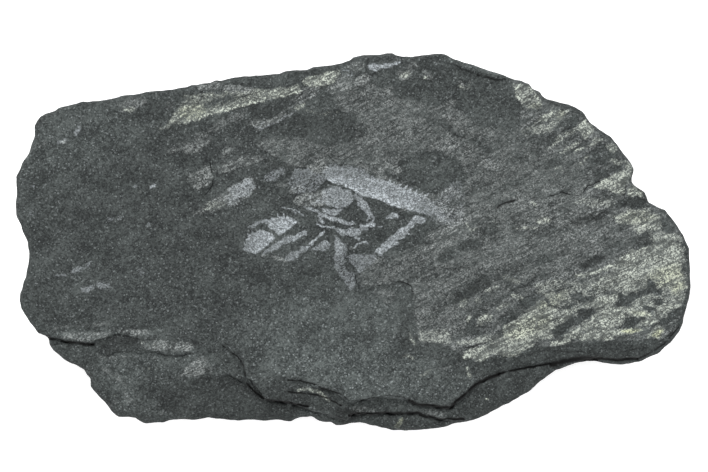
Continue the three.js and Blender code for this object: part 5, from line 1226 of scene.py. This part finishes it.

# Where the shale itself is lighter or darker: amount, softness and outline. The strip by the back edge also
# has painted light.
TONES = [
    (0.3, 3, [
        (-16, -9), (-4, -7.5), (0, -8), (6, -9), (8.5, -12), (9, -17), (6, -22), (0, -23.5), (-8, -20.5),
        (-13, -20.5), (-17, -17), (-19, -13)]),
    (0.5, 0.3, [
        (-46.8, -14.3), (-43.9, -13.9), (-38, -14.1), (-34, -13.9), (-30, -14.3), (-33, -14.9),
        (-36.5, -14.3), (-38.2, -14.7), (-41, -15.8), (-43.5, -15.5), (-46.5, -14.9)]),
    (-0.35, 0.4, [
        (-40.2, -15.8), (-39, -15.1), (-37, -14.5), (-33.4, -15.3), (-33.4, -17.2), (-37, -17.1),
        (-38.9, -17.5)]),
    (0.25, 0.8, [
        (-39, -18.6), (-36, -18.4), (-33, -20), (-34, -23.6), (-36, -26.6), (-38, -24), (-40, -21)]),
    (-0.3, 0.4, [
        (-29.5, -23), (-27.3, -21.8), (-22.9, -21.2), (-19, -21), (-16, -23), (-14, -24.6), (-8, -26),
        (-10, -28), (-26, -28), (-31, -26)]),
    (0.2, 0.4, [
        (5.3, -23.4), (6, -20.6), (7, -18.8), (9, -18.2), (10.7, -19), (11, -21.4), (10.4, -24.2),
        (7, -24)]),
    (-0.3, 0.4, [
        (3.8, -20.3), (5, -20), (6.2, -19.2), (6.9, -17.6), (6.6, -19.6), (5.4, -21.2), (4.2, -21.8)]),
    (-0.25, 0.4, [(11, -21.4), (12, -21.1), (13.2, -21.6), (12.6, -22.2), (11.2, -22.1)]),
    (-0.35, 0.4, [
        (2.6, -11.2), (3.2, -12), (3.3, -14), (2.9, -16), (2.2, -16.3), (1.4, -15.6), (2.1, -12.4)]),
    (-0.35, 0.4, [
        (7.2, -10.1), (8.8, -10.8), (9.2, -12), (8.6, -13.4), (9, -16.5), (8, -16.8), (6.9, -16),
        (7, -14), (7.6, -12.5)]),
    (-0.15, 0.6, [
        (10.5, -16.2), (15, -16.4), (18, -18.4), (26, -18), (30, -16.6), (36, -15.8), (47, -15.4),
        (49.6, -14.8), (44, -18.4), (36, -18.6), (26, -19.7), (20.6, -21.4), (14, -19.4)]),
    (-0.2, 0.6, [
        (15.5, -26), (19, -22.8), (21, -21.4), (24, -20.3), (33, -18.7), (36, -18.5), (31.7, -20),
        (28, -22.8), (23.9, -25.3), (19, -27.7), (15.8, -28.4)]),
    (-0.25, 0.4, [
        (-14, -22.4), (-11.2, -21.1), (-8.5, -21.7), (-5.5, -22.8), (-1.5, -24.5), (6, -24.3), (14, -26),
        (15.5, -26.5), (12, -27.6), (6, -26.8), (0, -27), (-13, -24.8)]),
    (-0.2, 0.8, [
        (-15, 17), (-8, 20.3), (-5, 20.5), (-2, 20.2), (0.3, 20.3), (0.4, 18), (0.3, 16.3), (-1, 15.3),
        (-4, 14.8), (-9, 16.3)]),
    # A lighter strip by the back edge, where a scrap of the upper bed stands: weathered, and painted light
    # where it tilts towards the lamp.
    (0.5, 0.4, [(13.4, 28.4), (20.6, 26.1), (25, 25.3), (20, 27.2), (15, 28.7)]),
    (-0.35, 0.3, [
        (34.8, -4), (36, -3), (37.3, -2.2), (38.8, -1.5), (39.1, -2.6), (38, -3.6), (36.3, -4.2)]),
    (-0.3, 0.3, [
        (0.9, -7.4), (0.4, -6.4), (0.1, -5), (-0.8, -4.6), (-1.4, -5.2), (-0.6, -6.4), (0, -7.6)]),
    (-0.35, 0.3, [(-14.2, 13.4), (-11.6, 12.1), (-9.2, 11.1), (-10.2, 10.9), (-12.6, 11.7), (-15, 13)]),
    (-0.1, 0.6, [(-8, 5.6), (-4, 4), (1, 7), (7, 5.6), (8, 3.4), (3, -1.4), (-2, -1), (-6.5, 0)]),
    (-0.12, 4, [(-46, 4), (-37, 10), (-25, 9), (-17, 2), (-18, -3), (-24, -4), (-40, -1)]),
    (-0.25, 0.5, [
        (-16.4, 20.9), (-11, 22.4), (-8.2, 23), (-7.9, 22.2), (-9.4, 21.3), (-11.4, 20.4), (-13, 19.4),
        (-15.2, 19.2)]),
    (-0.25, 0.3, [(42.3, 6.9), (44.5, 7), (45.8, 6.6), (45, 5.4), (43, 5.2), (41, 5.5)]),
    (-0.3, 0.3, [
        (33.6, 2.9), (35.4, 3.9), (37.3, 4.3), (39, 5.2), (39.9, 5.3), (39.2, 4.2), (38.2, 3.3),
        (35.4, 2.7)]),
    (-0.2, 0.3, [
        (45.2, -7.4), (46.2, -6.1), (47.5, -7.4), (48.3, -7.7), (46.2, -8), (43.7, -9.1), (43.3, -9.8),
        (41.1, -9.9), (41.4, -8.2)]),
    (-0.2, 0.3, [(42.3, -11.8), (45.8, -11.9), (44.2, -12.9), (43.5, -13.2), (41.7, -13.2)]),
    (-0.2, 0.3, [
        (31.3, -13.6), (33.3, -12.3), (34.7, -11.8), (35.5, -10.7), (37.8, -10.9), (36.3, -12.1),
        (34, -13.3), (32, -14.8)]),
    (-0.25, 0.4, [
        (16, -8.4), (18.3, -6.4), (20.3, -5.2), (21.3, -5.6), (21.2, -6.8), (18.4, -8.6), (15, -10)]),
    (-0.5, 0.25, [(-34.7, 10), (-34, 9.9), (-34, 9.3), (-34.7, 9.4)]),
    (-0.6, 0.2, [(-38.8, 8.2), (-38.3, 8), (-38.4, 7.7), (-38.9, 7.9)]),
    (0.28, 3, [(-50.5, 18.5), (-40, 19.6), (-34, 17.6), (-38, 13.6), (-46, 12.6), (-50.5, 11)]),
    (0.3, 3, [
        (-12, -17), (2, -16.4), (9, -17.4), (17, -19), (20, -22), (15, -27), (0, -25.5), (-11, -21)]),
    (0.25, 1.5, [(-38, -16.4), (-30, -15.6), (-24, -17), (-26, -21.8), (-34, -21.2), (-39, -19)]),
    (-0.09, 3, [(-21, 1), (-14, -3), (0, -7), (0, -11), (-10, -13), (-20, -14)]),
    (-0.12, 1.5, [(-52, -6), (-44, -6.5), (-44, -12), (-50, -13)]),
    (-0.2, 0.6, [(3, -27.2), (14, -28), (13, -29.5), (4, -29)]),
    (-0.5, 0.5, [(-3, -26.4), (0, -26), (2, -26.6), (1, -28), (-2, -28.4)]),
]


def depth_of(points, film):
    """How far inside a film each point lies, negative outside it."""
    if "line" in film:
        distance, _ = near_line(points, film["line"])
        return film["width"] / 2 - distance
    return depth_in(points, film["outline"])


def paint_fossils(points):
    """The film fields at each point, and the tone of the shale."""
    drift = np.stack([rough(points, 0.9, 101), rough(points, 0.9, 102)], axis=1)
    fine = np.stack([rough(points, 0.4, 103), rough(points, 0.4, 104)], axis=1)
    there = points + 0.17 * drift + 0.12 * fine  # the edge of a film is ragged,
    frayed = points + 0.3 * drift + 0.22 * fine  # and where one is torn away, more so
    fields = {kind: np.zeros(len(points)) for kind in FILM_KINDS}
    for film in FOSSILS:
        at = frayed if film["kind"] == "bare" else there
        share = film["strength"] * ease(0.5 + depth_of(at, film) / (1.5 * film["soft"]))
        if film["kind"] == "bare":
            for kind in TORN_KINDS:
                fields[kind] *= 1 - share
        else:
            cover = share / film["strength"]
            field = fields[film["kind"]]
            fields[film["kind"]] = field * (1 - cover) + share
    tone = np.zeros(len(points))
    for amount, soft, outline in TONES:
        tone += amount * ease(0.5 + depth_in(there, outline) / (2 * soft))
    fields["tone"] = tone
    return fields


# ---- the mesh object -----------------------------------------------------------------------------


def make_plate_mesh():
    """The plate as a mesh in metres, centred as the CAD node is, with its fields as attributes."""
    points, triangles, fields = build_plate()
    on_top = fields["edge"] < 0.5
    painted = {name: np.zeros(len(points)) for name in (*FILM_KINDS, "tone")}
    for name, values in paint_fossils(points[on_top, :2]).items():
        painted[name][on_top] = values
    low, high = np.array(OUTLINE).min(0), np.array(OUTLINE).max(0)
    centre = np.array([*(low + high) / 2, 0])
    mesh = bpy.data.meshes.new("shale")
    mesh.from_pydata(((points - centre) * MM).tolist(), [], triangles.tolist())
    mesh.polygons.foreach_set("use_smooth", np.ones(len(triangles), bool))
    for name, values in {**fields, **painted}.items():
        layer = mesh.attributes.new(name, "FLOAT", "POINT")
        layer.data.foreach_set("value", values.astype(np.float32))
    mesh.validate()
    return mesh


# ---- node trees ----------------------------------------------------------------------------------


def add(tree, kind, inputs=None, **settings):
    """A new node with its settings made and its inputs set or linked."""
    node = tree.nodes.new(kind)
    for name, value in settings.items():
        setattr(node, name, value)
    for name, value in (inputs or {}).items():
        socket = node.inputs[name]
        if isinstance(value, bpy.types.NodeSocket):
            tree.links.new(value, socket)
        else:
            socket.default_value = value
    return node


def colour(code):
    """A hex sRGB colour as linear red, green, blue and alpha."""
    parts = [int(code[i:i + 2], 16) / 255 for i in (1, 3, 5)]
    linear = [p / 12.92 if p <= 0.04045 else ((p + 0.055) / 1.055) ** 2.4 for p in parts]
    return (*linear, 1.0)


def relief_tree():
    """Geometry nodes that roughen the split face with grains and the broken edge with thin beds."""
    tree = bpy.data.node_groups.new("bedding_relief", "GeometryNodeTree")
    sockets = tree.interface
    sockets.new_socket("Geometry", in_out="INPUT", socket_type="NodeSocketGeometry")
    for name, value in (
        ("Grain size", 0.9 * MM), ("Grain height", 0.045 * MM), ("Bed thickness", 0.33 * MM),
        ("Bed depth", 0.12 * MM), ("Chip size", 1.6 * MM), ("Chip depth", 0.22 * MM), ("Seed", 3.0),
    ):
        socket = sockets.new_socket(name, in_out="INPUT", socket_type="NodeSocketFloat")
        socket.default_value = value
    sockets.new_socket("Material", in_out="INPUT", socket_type="NodeSocketMaterial")
    sockets.new_socket("Edge material", in_out="INPUT", socket_type="NodeSocketMaterial")
    sockets.new_socket("Geometry", in_out="OUTPUT", socket_type="NodeSocketGeometry")
    start = add(tree, "NodeGroupInput").outputs
    place = add(tree, "GeometryNodeInputPosition").outputs[0]
    normal = add(tree, "GeometryNodeInputNormal").outputs[0]
    edge = add(tree, "GeometryNodeInputNamedAttribute", {"Name": "edge"}).outputs[0]

    def math_of(operation, first, second):
        return add(tree, "ShaderNodeMath", {0: first, 1: second}, operation=operation).outputs[0]

    def bumps(size, squeeze, detail):
        """Noise from -1 to 1 with bumps of a size, which a squeeze below 1 draws out along an axis."""
        scale = math_of("DIVIDE", 1.0, size)
        squeezed = add(tree, "ShaderNodeVectorMath", {0: place, 1: squeeze}, operation="MULTIPLY")
        noise = add(tree, "ShaderNodeTexNoise", {
            "Vector": squeezed.outputs[0], "W": start["Seed"], "Scale": scale, "Detail": detail,
        }, noise_dimensions="4D")
        centred = math_of("SUBTRACT", noise.outputs[0], 0.5)
        return math_of("MULTIPLY", centred, 2.0)

    def moved(geometry, height, mask):
        """The geometry moved along its normals by a height where the mask is 1."""
        amount = math_of("MULTIPLY", height, mask)
        offset = add(tree, "ShaderNodeVectorMath", {0: normal, "Scale": amount}, operation="SCALE")
        return add(tree, "GeometryNodeSetPosition", {
            "Geometry": geometry, "Offset": offset.outputs[0],
        }).outputs[0]

    face = math_of("SUBTRACT", 1.0, edge)
    above = add(tree, "ShaderNodeSeparateXYZ", {0: place}).outputs[2]
    raised = add(tree, "ShaderNodeMapRange", {0: above, 1: 0.3 * MM, 2: 1.2 * MM}).outputs[0]
    side = math_of("MULTIPLY", edge, raised)
    grains = math_of("MULTIPLY", bumps(start["Grain size"], (1, 1, 1), 3.0), start["Grain height"])
    beds = math_of("MULTIPLY", bumps(start["Bed thickness"], (0.15, 0.15, 1), 1.0), start["Bed depth"])
    chips = math_of("MULTIPLY", bumps(start["Chip size"], (1, 1, 2.5), 2.0), start["Chip depth"])
    geometry = moved(start["Geometry"], grains, face)
    geometry = moved(geometry, math_of("ADD", beds, chips), side)
    whole = add(tree, "GeometryNodeRealizeInstances", {"Geometry": geometry}).outputs[0]
    dressed = add(tree, "GeometryNodeSetMaterial", {
        "Geometry": whole, "Material": start["Material"],
    }).outputs[0]
    is_edge = math_of("GREATER_THAN", edge, 0.5)
    dressed = add(tree, "GeometryNodeSetMaterial", {
        "Geometry": dressed, "Selection": is_edge, "Material": start["Edge material"],
    }).outputs[0]
    add(tree, "NodeGroupOutput", {"Geometry": dressed})
    return tree


# ---- materials -----------------------------------------------------------------------------------


class Board:
    """A material's node tree, with short ways to join its parts."""

    def __init__(self, name):
        self.material = bpy.data.materials.new(name)
        self.material.use_nodes = True
        self.tree = self.material.node_tree
        self.tree.nodes.clear()
        self.shader = self.add("ShaderNodeBsdfPrincipled")
        self.add("ShaderNodeOutputMaterial", {"Surface": self.shader.outputs[0]})
        self.place = self.add("ShaderNodeTexCoord").outputs["Object"]

    def add(self, kind, inputs=None, **settings):
        return add(self.tree, kind, inputs, **settings)

    def math(self, operation, first, second=0.0, clamp=False):
        return self.add("ShaderNodeMath", {0: first, 1: second}, operation=operation,
                        use_clamp=clamp).outputs[0]

    def field(self, name):
        """One of the fields that are painted on the mesh."""
        return self.add("ShaderNodeAttribute", attribute_name=name).outputs["Fac"]

    def cells(self, size, turn, stretch, seed):
        """Places counted in cells of `size` metres, turned by degrees and longer where stretch is large."""
        turned = self.add("ShaderNodeMapping", {
            "Vector": self.place, "Rotation": (0, 0, math.radians(-turn)),
        }).outputs[0]
        scale = tuple(1 / (size * part) for part in stretch)
        return self.add("ShaderNodeMapping", {
            "Vector": turned, "Scale": scale, "Location": (seed, seed, seed),
        }).outputs[0]

    def noise(self, size, detail=2.0, turn=0.0, stretch=(1, 1, 1), low=0.3, high=0.7, seed=0.0,
              rough=0.6):
        """Noise with blotches of `size` metres, where low becomes 0 and high becomes 1."""
        fac = self.add("ShaderNodeTexNoise", {
            "Vector": self.cells(size, turn, stretch, seed), "Scale": 1.0, "Detail": detail,
            "Roughness": rough,
        }).outputs[0]
        return self.ramp(fac, low, high)

    def grains(self, size, turn=0.0, stretch=(1, 1, 1), seed=0.0):
        """Angular grains or flakes of `size` metres, each with an even random value from 0 to 1."""
        grains = self.add("ShaderNodeTexVoronoi", {
            "Vector": self.cells(size, turn, stretch, seed), "Scale": 1.0,
        })
        return self.add("ShaderNodeSeparateColor", {0: grains.outputs["Color"]}).outputs[0]

    def ramp(self, value, low, high, bottom=0.0, top=1.0):
        """A value stretched so that low becomes bottom and high becomes top."""
        return self.add("ShaderNodeMapRange", {
            0: value, 1: low, 2: high, 3: bottom, 4: top,
        }, interpolation_type="SMOOTHSTEP" if (bottom, top) == (0.0, 1.0) else "LINEAR").outputs[0]

    def mix(self, share, first, second, kind="MIX"):
        """A mix of two colours."""
        return self.add("ShaderNodeMix", {0: share, 6: first, 7: second}, data_type="RGBA",
                        blend_type=kind).outputs[2]

    def blend(self, share, first, second):
        """A mix of two numbers."""
        return self.add("ShaderNodeMix", {0: share, 2: first, 3: second}).outputs[0]

    def scaled(self, tint, factor):
        """A colour made lighter or darker by a factor."""
        return self.add("ShaderNodeVectorMath", {0: tint, "Scale": factor}, operation="SCALE").outputs[0]

    def filmed(self, base, cover, torn, shade, tint, thin, thick):
        """Where a film lies, and the colour of a base with the film on it.

        The film is torn away where `torn` is low. It hides `thin` of the base where its grains are
        dark, and `thick` more where they are bright.
        """
        ragged = self.math("ADD", cover, self.math("MULTIPLY", torn, 0.7))
        lies = self.math("MULTIPLY", self.ramp(ragged, 0.48, 0.62), self.ramp(cover, 0.02, 0.12))
        hides = self.math("ADD", self.math("MULTIPLY", shade, thick), thin)
        share = self.math("MULTIPLY", self.math("MULTIPLY", hides, cover), lies, clamp=True)
        return lies, self.mix(share, base, tint)


def shale_colour(board):
    """Dark slaty shale: silt grains, dark and light, in blotches of every size."""
    mottle = board.noise(3.0 * MM, 4.0, turn=25, stretch=(1.5, 1, 1), low=0.2, high=0.8, seed=7.7,
                         rough=0.75)
    silt = board.grains(0.2 * MM, seed=3.1)
    sand = board.grains(0.42 * MM, seed=4.3)
    both = board.blend(0.42, board.blend(0.25, silt, sand), mottle)
    both = board.math("POWER", board.ramp(both, 0.04, 1.0), 1.35)
    base = board.mix(both, colour("#1a1d1d"), colour("#4a4f4e"))
    fleck = board.math("POWER", board.grains(0.2 * MM, seed=5.3), 18)
    return board.mix(board.math("MULTIPLY", fleck, 0.5), base, colour("#7c8282"))


def split_shale():
    """The split face of the shale with its fossil films: matt stone with faint shiny skins on it."""
    board = Board("split_shale_with_fossil_films")
    base = shale_colour(board)
    base = board.scaled(base, board.math("ADD", board.field("tone"), 1.0))

    # A film is torn at every scale: into blotches that are drawn out up to the right, into flakes
    # and into grains. Fine dark lines and small holes run through it the same way. The even shade is
    # for the whole silver films, the patchy one for the others.
    blotch = board.noise(1.8 * MM, 4.0, turn=28, stretch=(2.2, 1, 1), low=0.25, high=0.75, seed=2.2,
                         rough=0.7)
    flake = board.grains(0.17 * MM, turn=30, stretch=(2.2, 1, 1), seed=6.2)
    grain = board.grains(0.17 * MM, seed=8.3)
    torn = board.blend(0.4, board.blend(0.5, flake, grain), blotch)
    lines = board.noise(0.5 * MM, 2.0, turn=27, stretch=(8, 1, 1), low=0.4, high=0.48, seed=4.4)
    even = board.math("POWER", board.blend(0.12, grain, flake), 1.8)
    patchy = board.math("POWER", board.blend(0.25, grain, flake), 2.2)
    patchy = board.math("MULTIPLY", patchy, board.math("ADD", blotch, 0.55))
    patchy = board.math("MULTIPLY", patchy, board.ramp(lines, 0.0, 1.0, 0.35, 1.15))
    holes = board.noise(0.9 * MM, 3.0, turn=28, stretch=(2, 1, 1), low=0.34, high=0.46, seed=9.4)
    patchy = board.math("MULTIPLY", patchy, board.ramp(holes, 0.0, 1.0, 0.1, 1.15))

    grey, base = board.filmed(base, board.field("grey"), torn, patchy, colour("#858988"), 0.0, 1.02)
    straw_tint = board.mix(board.field("ochre"), colour("#b0b6ac"), colour("#b3b89a"))
    sparse = board.math("POWER", patchy, 1.15)
    straw, base = board.filmed(base, board.field("straw"), torn, sparse, straw_tint, 0.07, 1.3)
    silver, base = board.filmed(base, board.field("silver"), torn, even, colour("#b4bbc0"), 0.14, 0.87)

    broken = board.field("broken")
    base = board.mix(board.math("MULTIPLY", broken, 0.4), base, colour("#262a2a"))
    # Painted shade, near black, in the cracks, in the gaps between beds and at the feet of ledges.
    crack_shade = board.ramp(board.field("crack_shade"), 0.1, 0.8)
    base = board.mix(board.math("MULTIPLY", crack_shade, 0.95), base, colour("#030303"))
    board.tree.links.new(base, board.shader.inputs["Base Color"])

    films = board.math("MAXIMUM", silver, board.math("MULTIPLY", straw, 0.7), clamp=True)
    board.tree.links.new(board.blend(films, 0.8, 0.5), board.shader.inputs["Roughness"])
    board.shader.inputs["IOR"].default_value = 1.5
    board.shader.inputs["Specular IOR Level"].default_value = 0.2

    height = board.noise(0.4 * MM, 3.0, low=0.2, high=0.8, seed=6.6)
    skin = board.math("MULTIPLY", board.math("MAXIMUM", films, grey), torn)
    bump = board.add("ShaderNodeBump", {
        "Height": board.math("ADD", height, skin), "Distance": 0.09 * MM, "Strength": 0.9,
    })
    board.tree.links.new(bump.outputs[0], board.shader.inputs["Normal"])
    return board.material


def broken_shale():
    """Shale broken across its bedding: thin beds in slightly different greys, ragged and matt."""
    board = Board("broken_shale_edge")
    base = shale_colour(board)
    beds = board.noise(1.0 * MM, 3.0, stretch=(16, 16, 0.5), low=0.3, high=0.7, seed=8.8)
    base = board.mix(board.math("MULTIPLY", beds, 0.55), base, colour("#1d2020"))
    hairline = board.noise(1.0 * MM, 2.0, stretch=(9, 9, 0.16), low=0.36, high=0.3, seed=3.7)
    base = board.mix(board.math("MULTIPLY", hairline, 0.7), base, colour("#0b0c0c"))
    rust = board.noise(3.5 * MM, 3.0, stretch=(1.6, 1.6, 0.6), low=0.6, high=0.78, seed=5.9)
    base = board.mix(board.math("MULTIPLY", rust, 0.35), base, colour("#4a453a"))
    board.tree.links.new(base, board.shader.inputs["Base Color"])
    board.shader.inputs["Roughness"].default_value = 0.85
    board.shader.inputs["Specular IOR Level"].default_value = 0.2
    height = board.noise(0.35 * MM, 3.0, stretch=(2.2, 2.2, 0.7), low=0.2, high=0.8, seed=1.3)
    bump = board.add("ShaderNodeBump", {"Height": height, "Distance": 0.12 * MM, "Strength": 0.9})
    board.tree.links.new(bump.outputs[0], board.shader.inputs["Normal"])
    return board.material


# ---- the plate -----------------------------------------------------------------------------------


def make_plate():
    """The finished stone, riding in place of the CAD node."""
    plate = bpy.data.objects.new("graptolite_shale", make_plate_mesh())
    bpy.context.scene.collection.objects.link(plate)
    tree = relief_tree()
    modifier = plate.modifiers.new("bedding_relief", "NODES")
    modifier.node_group = tree
    identifiers = {item.name: item.identifier for item in tree.interface.items_tree
                   if item.in_out == "INPUT"}
    modifier[identifiers["Material"]] = split_shale()
    modifier[identifiers["Edge material"]] = broken_shale()
    evaluated = plate.evaluated_get(bpy.context.evaluated_depsgraph_get())
    finished = bpy.data.meshes.new_from_object(evaluated)
    plate.modifiers.remove(modifier)
    plate.data = finished
    finished.name = "graptolite_shale"
    finished.set_sharp_from_angle(angle=math.radians(38))
    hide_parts("shale_plate")
    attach(plate, "root")


# ---- floor, lights and camera --------------------------------------------------------------------


def make_floor():
    """A plain pale floor, far larger than the view."""
    mesh = bpy.data.meshes.new("floor")
    half = 3.0
    corners = [(-half, -half, 0), (half, -half, 0), (half, half, 0), (-half, half, 0)]
    mesh.from_pydata(corners, [], [(0, 1, 2, 3)])
    floor = bpy.data.objects.new("floor", mesh)
    bpy.context.scene.collection.objects.link(floor)
    board = Board("pale_paper")
    board.shader.inputs["Base Color"].default_value = colour("#f7f7f7")
    board.shader.inputs["Roughness"].default_value = 0.9
    board.shader.inputs["Specular IOR Level"].default_value = 0.1
    board.shader.inputs["Emission Color"].default_value = (1, 1, 1, 1)
    board.shader.inputs["Emission Strength"].default_value = 0.4
    mesh.materials.append(board.material)


def make_light(name, place, target, size, power):
    """A soft square light that faces a target."""
    light = bpy.data.lights.new(name, "AREA")
    light.shape = "SQUARE"
    light.size = size
    light.energy = power
    lamp = bpy.data.objects.new(name, light)
    bpy.context.scene.collection.objects.link(lamp)
    lamp.location = place
    lamp.rotation_euler = (Vector(target) - Vector(place)).to_track_quat("-Z", "Y").to_euler()


VIEW_WIDTH = 110.27 * MM  # how much of the plate's plan the camera sees
VIEW_CENTRE = (0.13 * MM, 0.96 * MM)
LENS = 200.0
SENSOR = 36.0


def make_camera():
    """A long lens straight above the plate."""
    camera = bpy.data.cameras.new("camera")
    camera.lens = LENS
    camera.sensor_width = SENSOR
    camera.clip_start = 0.01
    camera.clip_end = 20
    eye = bpy.data.objects.new("camera", camera)
    bpy.context.scene.collection.objects.link(eye)
    distance = VIEW_WIDTH * LENS / SENSOR
    eye.location = (*VIEW_CENTRE, THICKNESS * MM + distance)
    bpy.context.scene.camera = eye


def make_light_tent():
    """Soft studio light: a bright surround, and a large lamp behind the plate's back edge."""
    world = bpy.data.worlds.new("surround")
    world.use_nodes = True
    background = world.node_tree.nodes["Background"]
    background.inputs["Color"].default_value = (1, 1, 1, 1)
    background.inputs["Strength"].default_value = 1.25
    bpy.context.scene.world = world
    make_light("key", place=(-0.25, 0.75, 0.75), target=(0, 0, 0), size=0.4, power=9.0)
    bpy.context.scene.view_settings.view_transform = "Standard"


make_camera()
make_plate()
make_floor()
make_light_tent()
